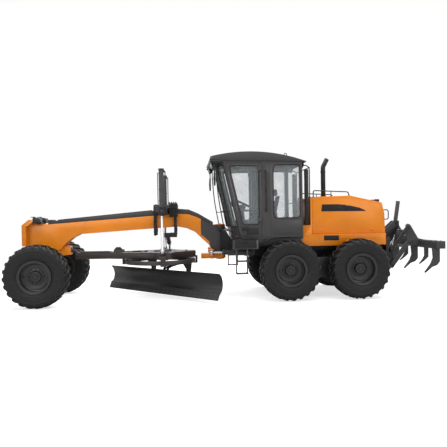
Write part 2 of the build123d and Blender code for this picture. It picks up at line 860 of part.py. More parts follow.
# Drawbar: a ball at its nose, a triangle frame with its openings and the circle's drive
drawbar_nose_x = ball_x - 150
wing_x = lift_x
with BuildPart() as drawbar:
    with Locations((ball_x, 0, ball_z)):
        Sphere(ball_radius)
    with BuildSketch(side_plane(0)):
        with BuildLine():
            Polyline(
                (ball_x, ball_z + neck_half),
                (ball_x - 110, ball_z + neck_half - 10),
                (drawbar_nose_x - 60, drawbar_high_z),
                (drawbar_nose_x - 60, drawbar_low_z),
                (drawbar_nose_x, drawbar_low_z),
                (ball_x - 110, ball_z - neck_half - 10),
                (ball_x, ball_z - neck_half),
                close=True,
            )
        make_face()
    extrude(amount=neck_half, both=True)
    # Frame from the nose to the circle
    with BuildSketch(Plane.XY.offset(drawbar_low_z)):
        with BuildLine():
            Polyline(
                (drawbar_nose_x, 112),
                (circle_x + 1180, 130),
                (circle_x + 560, 430),
                (wing_x + 180, 560),
                (wing_x + 110, 742),
                (wing_x - 180, 742),
                (wing_x - 230, 560),
                (circle_x - 420, 430),
                (circle_x - 840, 130),
                (circle_x - 840, -130),
                (circle_x - 420, -430),
                (wing_x - 230, -560),
                (wing_x - 180, -742),
                (wing_x + 110, -742),
                (wing_x + 180, -560),
                (circle_x + 560, -430),
                (circle_x + 1180, -130),
                (drawbar_nose_x, -112),
                close=True,
            )
        make_face()
        with BuildLine(mode=Mode.PRIVATE) as opening:
            Polyline(
                (circle_x + 860, 90),
                (circle_x + 500, 270),
                (circle_x + 300, 270),
                (circle_x + 300, -270),
                (circle_x + 500, -270),
                (circle_x + 860, -90),
                close=True,
            )
        make_face(opening.edges(), mode=Mode.SUBTRACT)
        with Locations((circle_x - 60, 0)):
            Rectangle(420, 460, mode=Mode.SUBTRACT)
    extrude(amount=drawbar_high_z - drawbar_low_z)
    # Brackets and ball studs of the lift cylinders
    for side in (1, -1):
        with BuildSketch(Plane.XY.offset(drawbar_low_z)):
            with Locations((lift_x, side * (lift_y - 20))):
                Rectangle(150, 220)
        extrude(amount=lift_ball_z - 30 - drawbar_low_z)
        with Locations((lift_x, side * lift_y, lift_ball_z)):
            Sphere(lift_ball_radius)
        with BuildSketch(Plane.XY.offset(lift_ball_z - 31)):
            with Locations((lift_x, side * lift_y)):
                Circle(24)
        extrude(amount=20)
    # Ball stud of the shift cylinder
    with Locations((shift_x, shift_eye_y, shift_eye_z)):
        Sphere(shift_ball_radius)
    with BuildSketch(Plane.XY.offset(drawbar_high_z - 10)):
        with Locations((shift_x, shift_eye_y)):
            Circle(22)
    extrude(amount=shift_eye_z - drawbar_high_z)
    # Circle drive gearbox and motor
    with BuildSketch(Plane.XY.offset(drawbar_high_z - 20)):
        with Locations((circle_x + 960, 0)):
            Rectangle(230, 190)
    extrude(amount=76)
    # Shoes that hold the circle's rim
    shoe_low = circle_low_z - seat_gap - 25
    for angle in (0, 97, 180, 263):
        with BuildSketch(polar_plane(angle)):
            with BuildLine():
                Polyline(
                    (circle_radius - 45, shoe_low),
                    (circle_radius + 60, shoe_low),
                    (circle_radius + 60, drawbar_low_z + 30),
                    (circle_radius - 60, drawbar_low_z + 30),
                    (circle_radius - 60, drawbar_low_z),
                    (circle_radius + moving_gap, drawbar_low_z),
                    (circle_radius + moving_gap, circle_low_z - seat_gap),
                    (circle_radius - 45, circle_low_z - seat_gap),
                    close=True,
                )
            make_face()
        extrude(amount=55, both=True)
save(drawbar.part, "drawbar")

# Circle, with the two arms that carry the blade
blade_u = Vector(cos(radians(blade_angle)), sin(radians(blade_angle)), 0)
blade_v = Vector(-sin(radians(blade_angle)), cos(radians(blade_angle)), 0)


def blade_plane(v):
    """A plane across the blade: local x is ahead of it, local y is up, v is along it."""
    return Plane(origin=Vector(circle_x, 0, 0) + blade_v * v, x_dir=blade_u, z_dir=-blade_v)


def blade_point(u, v, z):
    return Vector(circle_x, 0, z) + blade_u * u + blade_v * v


with BuildPart() as circle:
    with BuildSketch(Plane.XY.offset(circle_low_z)):
        with Locations((circle_x, 0)):
            Circle(circle_radius)
            Circle(circle_bore_radius, mode=Mode.SUBTRACT)
    extrude(amount=circle_high_z - circle_low_z)
    # Cross plate with the lugs of the tip cylinder
    with BuildSketch(blade_plane(0)):
        with Locations((tip_base_u, circle_low_z + 21)):
            Rectangle(100, 42)
    extrude(amount=tip_plate_half, both=True)
    for v in (tip_lug_in, -tip_lug_in - 20):
        with BuildSketch(blade_plane(v + 20)):
            with Locations((tip_base_u, tip_base_z)):
                Circle(46)
            with Locations((tip_base_u, (tip_base_z + circle_low_z) / 2)):
                Rectangle(92, circle_low_z - tip_base_z + 10)
        extrude(amount=20)
    with BuildSketch(blade_plane(0)):
        with Locations((tip_base_u, tip_base_z)):
            Circle(cylinder_pin_radius)
    extrude(amount=tip_lug_in + 20, both=True)
    # Blade arms
    for v in (arm_v, -arm_v):
        with BuildSketch(blade_plane(v)):
            with Locations((tip_u, tip_z)):
                Circle(62)
            with BuildLine():
                Polyline(
                    (-430, circle_low_z + 10),
                    (-150, circle_low_z + 10),
                    (-275, circle_low_z - 160),
                    (-275, tip_z + 130),
                    (tip_u + 50, tip_z + 36),
                    (tip_u - 10, tip_z - 60),
                    (-400, circle_low_z - 190),
                    close=True,
                )
            make_face()
            with Locations((tip_u, tip_z)):
                Circle(tip_pin_radius + running_gap, mode=Mode.SUBTRACT)
        extrude(amount=arm_half, both=True)
save(circle.part, "circle")

# Blade carrier: hinged low on the arms, with slides for the blade and the side shift barrel
with BuildPart() as blade_carrier:
    with BuildSketch(blade_plane(0)):
        with Locations((tip_u, tip_z)):
            Circle(tip_pin_radius)
    extrude(amount=arm_v + arm_half, both=True)
    with BuildSketch(blade_plane(0)):
        with Locations((tip_u, tip_z)):
            Circle(56)
    extrude(amount=arm_v - arm_half - moving_gap, both=True)
    for v in (rib_v, -rib_v):
        with BuildSketch(blade_plane(v)):
            with BuildLine():
                Polyline(
                    (tip_u - 40, tip_z - 20),
                    (tip_u - 40, tip_z + 60),
                    (-205, 400),
                    (-205, 590),
                    (-140, 620),
                    (-100, 595),
                    (-100, 260),
                    (tip_u + 30, tip_z - 40),
                    close=True,
                )
            make_face()
            for z in rail_heights:
                with Locations((rail_back_u + 18, z)):
                    Rectangle(60, 84)
                with Locations((rail_back_u + 10, z)):
                    Rectangle(36, 52, mode=Mode.SUBTRACT)
                with Locations((rail_back_u + 50, z)):
                    Rectangle(60, 28, mode=Mode.SUBTRACT)
        extrude(amount=rib_half, both=True)
    # Top tube with the lugs of the tip cylinder
    with BuildSketch(blade_plane(0)):
        with Locations((-168, 600)):
            Circle(30)
    extrude(amount=rib_v, both=True)
    for v in (tip_lug_in, -tip_lug_in - 20):
        with BuildSketch(blade_plane(v + 20)):
            with Locations((tip_eye_u, tip_eye_z)):
                Circle(40)
            with Locations(((tip_eye_u - 168) / 2, (tip_eye_z + 600) / 2)):
                Rectangle(70, 60)
        extrude(amount=20)
    # Side shift barrel
    with BuildSketch(blade_plane(side_barrel_far)):
        with Locations((side_u, side_z)):
            Circle(side_barrel_radius)
    extrude(amount=side_barrel_far - side_barrel_near)
    with BuildSketch(blade_plane(rib_v + rib_half)):
        with Locations((side_u, side_z)):
            Circle(side_rod_radius + running_gap)
    extrude(amount=rib_v + rib_half - side_barrel_near - barrel_cap, mode=Mode.SUBTRACT)
save(blade_carrier.part, "blade_carrier")

# Moldboard: a curved plate with its cutting edge, two slide rails and the side shift rod
with BuildPart() as moldboard:
    with BuildSketch(blade_plane(0)):
        with BuildLine():
            ThreePointArc((blade_top_u, blade_high_z), (blade_deep_u, 430), (blade_foot_u, 215))
            Line((blade_foot_u, 215), (blade_foot_u - blade_thick, 215))
            ThreePointArc(
                (blade_foot_u - blade_thick, 215),
                (blade_deep_u - blade_thick, 430),
                (blade_top_u - blade_thick, blade_high_z),
            )
            Line((blade_top_u - blade_thick, blade_high_z), (blade_top_u, blade_high_z))
        make_face()
        with BuildLine():
            Polyline(
                (blade_foot_u + 66, blade_low_z),
                (blade_foot_u + 42, blade_low_z),
                (blade_foot_u - blade_thick, 222),
                (blade_foot_u - blade_thick, 250),
                (blade_foot_u - 4, 262),
                (blade_foot_u + 4, 240),
                close=True,
            )
        make_face()
    extrude(amount=blade_length / 2, both=True)
    with BuildSketch(blade_plane(0)):
        for z in rail_heights:
            with Locations((rail_back_u + 10, z)):
                Rectangle(20, 36)
            with Locations((rail_back_u + 50, z)):
                Rectangle(80, 12)
    extrude(amount=rail_half, both=True)
    with BuildSketch(blade_plane(side_bracket_v)):
        with BuildLine():
            Polyline(
                (-78, side_z - 60),
                (-78, side_z + 60),
                (side_u - 10, side_z + 32),
                (side_u - 10, side_z - 32),
                close=True,
            )
        make_face()
    extrude(amount=15, both=True)
    with BuildSketch(blade_plane(side_bracket_v)):
        with Locations((side_u, side_z)):
            Circle(side_rod_radius)
    extrude(amount=side_bracket_v - side_rod_v)
save(moldboard.part, "moldboard")

# Blade tip cylinder, from the circle's cross plate to the top of the carrier
cylinder_pair(
    "blade_tip",
    blade_point(tip_base_u, 0, tip_base_z),
    blade_point(tip_eye_u, 0, tip_eye_z),
    (30, 432),
    134,
    blade_v,
    (38, 20),
    (2 * tip_lug_in - 8, 2 * tip_lug_in - 10),
)

# Rear frame: the hitch hub and tongue, two rails with cross members, and the ripper's mount
rear_end_x = tandem_x - 1700
ripper_pin_x = tandem_x + ripper_pin_at
mast_x = tandem_x + mast_at
with BuildPart() as rear_frame:
    with BuildSketch(side_plane(0)):
        with BuildLine():
            Polyline(
                (hinge_x, yoke_low_z + yoke_arm + 10),
                (hinge_x, yoke_high_z - yoke_arm - 10),
                (hinge_x - 140, yoke_high_z - yoke_arm - 10),
                (hinge_x - 270, deck_z + 140),
                (hinge_x - 640, deck_z + 140),
                (hinge_x - 640, rail_low_z),
                (hinge_x - 200, rail_low_z),
                (hinge_x - 160, yoke_low_z + yoke_arm + 10),
                close=True,
            )
        make_face()
    extrude(amount=hub_block_radius, both=True)
    with BuildSketch(Plane.XY.offset(yoke_low_z + yoke_arm + 5)):
        with Locations((hinge_x, 0)):
            Circle(hub_block_radius)
    extrude(amount=yoke_high_z - yoke_low_z - 2 * yoke_arm - 10)
    for side in (1, -1):
        with BuildSketch(side_plane(side * (rail_y - rail_width / 2))):
            with BuildLine():
                Polyline(
                    (hinge_x - 560, rail_low_z),
                    (hinge_x - 560, deck_z - seat_gap),
                    (rear_end_x, deck_z - seat_gap),
                    (rear_end_x, rail_low_z),
                    close=True,
                )
            make_face()
        extrude(amount=-side * rail_width)
        # Lugs of the articulation cylinders
        for z in (steer_z + steer_lug_gap / 2, steer_z - steer_lug_gap / 2 - 24):
            with BuildSketch(Plane.XY.offset(z)):
                with Locations((hinge_x + steer_base_x, side * steer_base_y)):
                    Circle(58)
                with Locations((hinge_x + steer_base_x, side * (rail_y + steer_base_y) / 2)):
                    Rectangle(116, steer_base_y - rail_y)
            extrude(amount=24)
        with BuildSketch(Plane.XY.offset(steer_z - steer_lug_gap / 2 - 24)):
            with Locations((hinge_x + steer_base_x, side * steer_base_y)):
                Circle(cylinder_pin_radius)
        extrude(amount=steer_lug_gap + 48)
        # Ripper side plates with the pins of the arms and links
        with BuildSketch(side_plane(side * (ripper_arm_y - 25))):
            with BuildLine():
                Polyline(
                    (rear_end_x + 40, ripper_low_z - 50),
                    (rear_end_x + 40, ripper_high_z + 120),
                    (ripper_pin_x + 20, ripper_high_z + 70),
                    (ripper_pin_x - 60, ripper_high_z + 20),
                    (ripper_pin_x - 60, ripper_low_z - 50),
                    close=True,
                )
            make_face()
        extrude(amount=side * 60)
        for z in (ripper_low_z, ripper_high_z):
            with BuildSketch(side_plane(side * (ripper_arm_y - 40))):
                with Locations((ripper_pin_x, z)):
                    Circle(ripper_pin_radius)
            extrude(amount=-side * 75)
        # Mast plates with the bearing of the ripper cylinder
        with BuildSketch(side_plane(side * mast_in)):
            with BuildLine():
                Polyline(
                    (rear_end_x + 20, deck_z - 150),
                    (rear_end_x + 20, deck_z + 190),
                    (mast_x + 70, mast_z + 60),
                    (mast_x - 60, mast_z + 60),
                    (mast_x - 60, mast_z - 60),
                    (ripper_pin_x - 20, ripper_high_z + 10),
                    close=True,
                )
            make_face()
            with Locations((mast_x, mast_z)):
                Circle(cylinder_pin_radius + running_gap, mode=Mode.SUBTRACT)
        extrude(amount=-side * mast_plate)
    for x in (hinge_x - 600, front_tandem_x, rear_tandem_x):
        with BuildSketch(Plane.XY.offset(rail_low_z + 20)):
            with Locations((x, 0)):
                Rectangle(140, 2 * rail_y)
        extrude(amount=deck_z - rail_low_z - 60)
    # Rear cross plate
    with BuildSketch(Plane.XY.offset(ripper_low_z - 50)):
        with Locations((rear_end_x + 20, 0)):
            Rectangle(60, 2 * ripper_arm_y + 300)
    extrude(amount=deck_z + 180 - ripper_low_z)
    with BuildSketch(Plane.XY.offset(yoke_low_z)):
        with Locations((hinge_x, 0)):
            Circle(hinge_pin_radius + running_gap)
    extrude(amount=yoke_high_z - yoke_low_z, mode=Mode.SUBTRACT)
save(rear_frame.part, "rear_frame")

# Rear axle: the final drive between the two tandem housings
with BuildPart() as rear_axle:
    with BuildSketch(side_plane(0)):
        with Locations((tandem_x, wheel_z)):
            Circle(170)
    extrude(amount=tandem_in_y - seat_gap, both=True)
    with BuildSketch(Plane.XY.offset(wheel_z - 230)):
        with Locations((tandem_x, 0)):
            RectangleRounded(520, 460, 80)
    extrude(amount=rail_low_z - seat_gap - wheel_z + 230)
    with BuildSketch(Plane.XY.offset(wheel_z)):
        with Locations((tandem_x, 0)):
            Rectangle(300, 2 * rail_y + 60)
    extrude(amount=rail_low_z - seat_gap - wheel_z)
save(rear_axle.part, "rear_axle")

# Tandem housings, one on each side, with the stub axles of their wheels
with BuildPart() as tandem_housings:
    for side in (1, -1):
        with BuildSketch(side_plane(side * tandem_in_y)):
            with BuildLine():
                half = tandem_spacing / 2
                Polyline(
                    (tandem_x - half - 150, wheel_z - 160),
                    (tandem_x - half - 205, wheel_z),
                    (tandem_x - half - 150, wheel_z + 160),
                    (tandem_x - 300, wheel_z + 245),
                    (tandem_x + 300, wheel_z + 245),
                    (tandem_x + half + 150, wheel_z + 160),
                    (tandem_x + half + 205, wheel_z),
                    (tandem_x + half + 150, wheel_z - 160),
                    (tandem_x + 300, wheel_z - 215),
                    (tandem_x - 300, wheel_z - 215),
                    close=True,
                )
            make_face()
        extrude(amount=-side * tandem_wide)
        for x in (front_tandem_x, rear_tandem_x):
            with BuildSketch(side_plane(side * tandem_in_y)):
                with Locations((x, wheel_z)):
                    Circle(150)
            extrude(amount=-side * (tandem_wide + 60))
            with BuildSketch(side_plane(side * tandem_in_y)):
                with Locations((x, wheel_z)):
                    Circle(spindle_radius)
            extrude(amount=-side * (wheel_y + hub_out - 32 - tandem_in_y))
save(tandem_housings.part, "tandem_housings")

with BuildPart() as engine:
    with BuildSketch(Plane.XY.offset(deck_z + body_wall + seat_gap)):
        with Locations((hinge_x - 2850, 0)):
            Rectangle(1250, 760)
    extrude(amount=engine_height)
save(engine.part, "engine")

# Lower body: the deck below the cab, step boxes with their steps, and the engine's side panels
cab_rear_x = hinge_x + cab_rear_at
hood_rear_x = hinge_x + hood_rear_at
bulkhead_x = hinge_x + hood_front_at + moving_gap + body_wall
with BuildPart() as lower_body:
    with BuildSketch(Plane.XY.offset(deck_z)):
        with Locations(((hinge_x - 330 + cab_rear_x) / 2, 0)):
            Rectangle(hinge_x - 330 - cab_rear_x, 2 * cab_half - 40)
        with Locations((hinge_x - 500, 0)):
            Rectangle(340, 2 * hub_block_radius + 20, mode=Mode.SUBTRACT)
    extrude(amount=cab_floor_z - seat_gap - deck_z)
    body_length = cab_rear_x - hood_rear_x - 20
    with BuildSketch(Plane.XY.offset(deck_z)):
        with Locations((hood_rear_x + 20 + body_length / 2, 0)):
            Rectangle(body_length, 2 * body_half)
    extrude(amount=hood_split_z - seat_gap - deck_z)
    with BuildSketch(Plane.XY.offset(deck_z + body_wall)):
        with Locations((hood_rear_x + 20 + body_length / 2, 0)):
            Rectangle(body_length - 2 * body_wall, 2 * (body_half - body_wall))
    extrude(amount=hood_split_z - deck_z, mode=Mode.SUBTRACT)
    for side in (1, -1):
        with BuildSketch(Plane.XY.offset(body_low_z)):
            with Locations((hood_rear_x + 20 + body_length / 2, side * (body_half - body_wall / 2))):
                Rectangle(body_length, body_wall)
        extrude(amount=hood_split_z - seat_gap - body_low_z)
    # Ledge that the hood rests on
    with BuildSketch(Plane.XY.offset(hood_split_z - seat_gap - body_wall)):
        with Locations((hood_rear_x + 20 + body_length / 2, 0)):
            Rectangle(body_length, 2 * body_half)
            Rectangle(body_length - 2 * body_wall, 2 * (hood_half - hood_wall - 16), mode=Mode.SUBTRACT)
    extrude(amount=body_wall)
    # Cowl behind the cab and the engine's bulkhead, with the hood's hinge pins
    with BuildSketch(side_plane(0)):
        with BuildLine():
            Polyline(
                (bulkhead_x - body_wall, hood_split_z - body_wall),
                (bulkhead_x - body_wall, bulkhead_high_z),
                (bulkhead_x, bulkhead_high_z),
                (bulkhead_x, cowl_high_z),
                (cab_rear_x - 20, cowl_high_z),
                (cab_rear_x - 20, hood_split_z - body_wall),
                close=True,
            )
        make_face()
    extrude(amount=hood_half, both=True)
    for y in (lid_hinge_y, -lid_hinge_y):
        with BuildSketch(side_plane(y)):
            with Locations((bulkhead_x, lid_pin_z)):
                Circle(18)
            with Locations((bulkhead_x - 6, bulkhead_high_z + 12)):
                Rectangle(48, 40)
        extrude(amount=48, both=True)
        with BuildSketch(side_plane(y)):
            with Locations((bulkhead_x - 10, bulkhead_high_z + 40)):
                Rectangle(120, 84)
        extrude(amount=34, both=True, mode=Mode.SUBTRACT)
        with BuildSketch(side_plane(y)):
            with Locations((bulkhead_x, lid_pin_z)):
                Circle(lid_pin_radius)
        extrude(amount=48, both=True)
    for side in (1, -1):
        # Arch over the rear wheels
        with BuildSketch(side_plane(side * (body_half + 5))):
            with BuildLine():
                Polyline(
                    (rear_tandem_x + 290, body_low_z - 10),
                    (rear_tandem_x + 130, arch_high_z),
                    (rear_tandem_x - 330, arch_high_z),
                    (rear_tandem_x - 590, body_low_z - 10),
                    close=True,
                )
            make_face()
        extrude(amount=side * (body_wall + 8), mode=Mode.SUBTRACT)
        # Step box with its steps
        with BuildSketch(Plane.XY.offset(step_box_low_z)):
            with Locations((hinge_x - 500, side * (cab_half + 90))):
                Rectangle(560, 220)
        extrude(amount=step_box_high_z - step_box_low_z)
        for x in (step_front_at, step_rear_at):
            with BuildSketch(Plane.XY.offset(step_low_z)):
                with Locations((hinge_x + x, side * step_y)):
                    Rectangle(24, 60)
            extrude(amount=step_box_low_z - step_low_z)
        for z in (step_low_z, (step_low_z + step_box_low_z) / 2):
            with BuildSketch(Plane.XY.offset(z)):
                with Locations((hinge_x + (step_front_at + step_rear_at) / 2, side * (step_y + 30))):
                    Rectangle(step_front_at - step_rear_at + 24, 150)
            extrude(amount=24)
save(lower_body.part, "lower_body")

# Cab: a hollow shell that leans forward at the front, with its windows and doorways cut
cab_corner_x = hinge_x + cab_corner_at
cab_front_x = hinge_x + cab_front_at
door_rear_x = hinge_x + door_rear_at


def cab_outline(z):
    """The cab's plan at a height: square at the rear, narrowing to the windscreen."""
    lean = cab_lean * (z - cab_floor_z)
    half = [
        (cab_rear_x, cab_half),
        (cab_corner_x + lean, cab_half),
        (cab_front_x + lean, cab_front_half),
    ]
    return half + [(x, -y) for x, y in reversed(half)]


def door_front(z, inset):
    """Where the doorway's front edge is at a height."""
    return cab_corner_x + cab_lean * (z - cab_floor_z) - inset


def door_outline(inset, low=door_low_z, high=door_high_z):
    """The doorway's outline from the side, drawn in by an inset."""
    return [
        (door_rear_x + inset, low + inset),
        (door_rear_x + inset, high - inset),
        (door_front(high - inset, frame_bar + inset), high - inset),
        (door_front(low + inset, frame_bar + inset), low + inset),
    ]


def front_pane(inset):
    """The windscreen's outline on its own leaning plane."""
    low = (window_low_z - 40 - cab_floor_z) * hypot(1, cab_lean)
    high = (window_high_z - cab_floor_z) * hypot(1, cab_lean)
    half = cab_front_half - frame_bar / 2 - inset
    return [(-half, low + inset), (half, low + inset), (half, high - inset), (-half, high - inset)]


screen_plane = Plane(
    origin=(cab_front_x, 0, cab_floor_z),
    x_dir=(0, 1, 0),
    z_dir=(1, 0, -cab_lean),
)


def corner_plane(side):
    """The plane of the angled pane between the windscreen and the door post."""
    front = Vector(cab_front_x, side * cab_front_half, cab_floor_z)
    post = Vector(cab_corner_x, side * cab_half, cab_floor_z)
    along = (post - front).normalized()
    upward = Vector(cab_lean, 0, 1)
    return Plane(origin=front, x_dir=along, z_dir=along.cross(upward))


def corner_pane(side, inset):
    """The angled pane's outline on its plane."""
    plane = corner_plane(side)
    points = []
    span = hypot(cab_corner_x - cab_front_x, cab_half - cab_front_half)
    for z, share in (
        (window_low_z - 40, frame_bar / 2),
        (window_low_z - 40, span - frame_bar / 2),
        (window_high_z, span - frame_bar / 2),
        (window_high_z, frame_bar / 2),
    ):
        toward = inset if share < span / 2 else -inset
        rise = inset if z < window_high_z else -inset
        part = (share + toward) / span
        x = cab_front_x + (cab_corner_x - cab_front_x) * part + cab_lean * (z + rise - cab_floor_z)
        y = side * (cab_front_half + (cab_half - cab_front_half) * part)
        local = plane.to_local_coords(Vector(x, y, z + rise))
        points.append((local.X, local.Y))
    return points


def rear_side_pane(inset):
    """The fixed side window behind the door."""
    return [
        (cab_rear_x + frame_bar + inset, window_low_z + 140 + inset),
        (cab_rear_x + frame_bar + inset, window_high_z - inset),
        (door_rear_x - 270 - inset, window_high_z - inset),
        (door_rear_x - 270 - inset, window_low_z + 140 + inset),
    ]


def rear_pane(inset):
    """The rear window."""
    half = cab_half - 2 * frame_bar - inset
    low = window_low_z + 140 + inset
    return [(-half, low), (half, low), (half, window_high_z - inset), (-half, window_high_z - inset)]


with BuildPart() as cab_shell:
    for z in (cab_floor_z, cab_top_z):
        with BuildSketch(Plane.XY.offset(z)):
            with BuildLine():
                Polyline(*cab_outline(z), close=True)
            make_face()
    loft(ruled=True)
    for z in (cab_floor_z + cab_wall, cab_top_z - cab_wall):
        with BuildSketch(Plane.XY.offset(z)):
            with BuildLine():
                Polyline(*cab_outline(z), close=True)
            make_face()
            offset(amount=-cab_wall, kind=Kind.INTERSECTION)
    loft(ruled=True, mode=Mode.SUBTRACT)
    # Roof, crowned along its length, with a visor at the front
    with BuildSketch(side_plane(0)):
        with BuildLine():
            Polyline(
                (hinge_x + roof_rear_at, roof_edge_z - 45),
                (hinge_x + roof_rear_at, roof_edge_z - 65),
                (cab_rear_x + 30, cab_top_z - 20),
                (hinge_x + roof_front_at - 60, cab_top_z - 20),
                (hinge_x + roof_front_at + 20, roof_edge_z),
                (hinge_x + roof_front_at, roof_edge_z + 75),
            )
            ThreePointArc(
                (hinge_x + roof_front_at, roof_edge_z + 75),
                (hinge_x - 950, roof_crown_z),
                (hinge_x + roof_rear_at, roof_edge_z - 45),
            )
        make_face()
    extrude(amount=cab_half + 10, both=True)
    # Doorways and windows
    with BuildSketch(side_plane(0)):
        with BuildLine():
            Polyline(*door_outline(0), close=True)
        make_face()
        with BuildLine():
            Polyline(*rear_side_pane(0), close=True)
        make_face()
    extrude(amount=cab_half + 5, both=True, mode=Mode.SUBTRACT)
    with BuildSketch(screen_plane):
        with BuildLine():
            Polyline(*front_pane(0), close=True)
        make_face()
    extrude(amount=cab_wall + 20, both=True, mode=Mode.SUBTRACT)
    for side in (1, -1):
        with BuildSketch(corner_plane(side)):
            with BuildLine():
                Polyline(*corner_pane(side, 0), close=True)
            make_face()
        extrude(amount=cab_wall + 5, both=True, mode=Mode.SUBTRACT)
    with BuildSketch(cross_plane(cab_rear_x)):
        with BuildLine():
            Polyline(*rear_pane(0), close=True)
        make_face()
    extrude(amount=cab_wall + 5, both=True, mode=Mode.SUBTRACT)
    # Door hinge pins, standing on brackets on the rear door posts
    for side in (1, -1):
        for z in hinge_heights:
            for bracket_z in (z - hinge_half - 16, z + hinge_half + 2):
                with BuildSketch(Plane.XY.offset(bracket_z)):
                    with Locations((door_rear_x, side * (cab_half + door_hinge_out))):
                        Circle(door_hinge_radius)
                    with Locations((door_rear_x - 30, side * (cab_half + door_hinge_out / 2))):
                        Rectangle(50, door_hinge_out + 8)
                extrude(amount=14)
            with BuildSketch(Plane.XY.offset(z - hinge_half - 16)):
                with Locations((door_rear_x, side * (cab_half + door_hinge_out))):
                    Circle(door_pin_radius)
            extrude(amount=2 * hinge_half + 32)
save(cab_shell.part, "cab_shell")

with BuildPart() as cab_glass:
    with BuildSketch(screen_plane.offset(-cab_wall / 2)):
        with BuildLine():
            Polyline(*front_pane(seat_gap), close=True)
        make_face()
    extrude(amount=glass)
    for side in (1, -1):
        with BuildSketch(corner_plane(side).offset(-side * cab_wall / 2)):
            with BuildLine():
                Polyline(*corner_pane(side, seat_gap), close=True)
            make_face()
        extrude(amount=glass)
        with BuildSketch(side_plane(side * (cab_half - cab_wall / 2))):
            with BuildLine():
                Polyline(*rear_side_pane(seat_gap), close=True)
            make_face()
        extrude(amount=glass)
    with BuildSketch(cross_plane(cab_rear_x + cab_wall / 2)):
        with BuildLine():
            Polyline(*rear_pane(seat_gap), close=True)
        make_face()
    extrude(amount=glass)
save(cab_glass.part, "cab_glass")

for name, side in (("left", 1), ("right", -1)):
    with BuildPart() as door:
        with BuildSketch(side_plane(side * cab_half)):
            with BuildLine():
                Polyline(*door_outline(moving_gap), close=True)
            make_face()
            with BuildLine(mode=Mode.PRIVATE) as pane:
                Polyline(*door_outline(frame_bar, low=window_low_z - frame_bar), close=True)
            make_face(pane.edges(), mode=Mode.SUBTRACT)
        extrude(amount=side * cab_wall)
        for z in hinge_heights:
            with BuildSketch(Plane.XY.offset(z - hinge_half)):
                with Locations((door_rear_x, side * (cab_half + door_hinge_out))):
                    Circle(door_hinge_radius)
                with Locations((door_rear_x + 40, side * (cab_half + door_hinge_out - 8))):
                    Rectangle(80, door_hinge_radius)
                with Locations((door_rear_x + 55, side * (cab_half + door_hinge_out / 2))):
                    Rectangle(50, door_hinge_out + 8)
                with Locations((door_rear_x, side * (cab_half + door_hinge_out))):
                    Circle(door_pin_radius + running_gap, mode=Mode.SUBTRACT)
            extrude(amount=2 * hinge_half)
    save(door.part, f"door_{name}")
    with BuildPart() as door_glass:
        with BuildSketch(side_plane(side * (cab_half - cab_wall / 2))):
            with BuildLine():
                Polyline(
                    *door_outline(frame_bar + seat_gap, low=window_low_z - frame_bar),
                    close=True,
                )
            make_face()
        extrude(amount=side * glass)
    save(door_glass.part, f"door_{name}_glass")

# Cab interior: the seat on its pedestal, and the steering console
with BuildPart() as seat:
    with BuildSketch(side_plane(0)):
        with BuildLine():
            Polyline(
                (seat_x + 170, cab_floor_z + cab_wall + seat_gap),
                (seat_x + 140, 1690),
                (seat_x + 260, 1700),
                (seat_x + 270, 1800),
                (seat_x - 190, 1780),
                (seat_x - 300, 2420),
                (seat_x - 390, 2400),
                (seat_x - 300, 1700),
                (seat_x - 170, 1690),
                (seat_x - 200, cab_floor_z + cab_wall + seat_gap),
                close=True,
            )
        make_face()
    extrude(amount=250, both=True)
save(seat.part, "seat")

with BuildPart() as console:
    with BuildSketch(side_plane(0)):
        with BuildLine():
            Polyline(
                (console_x + 120, cab_floor_z + cab_wall + seat_gap),
                (console_x - 110, cab_floor_z + cab_wall + seat_gap),
                (console_x - 60, 2000),
                (console_x - 110, 2120),
                (console_x + 30, 2160),
                (console_x + 80, 2000),
                close=True,
            )
        make_face()
    extrude(amount=95, both=True)
    with BuildSketch(Plane(origin=(console_x - 60, 0, 2170), z_dir=(-0.5, 0, 1))):
        Circle(190)
        Circle(168, mode=Mode.SUBTRACT)
        Rectangle(360, 40)
        Circle(40)
    extrude(amount=24)
    with BuildSketch(Plane(origin=(console_x - 20, 0, 2090), z_dir=(-0.5, 0, 1))):
        Circle(34)
    extrude(amount=100)
save(console.part, "steering_console")

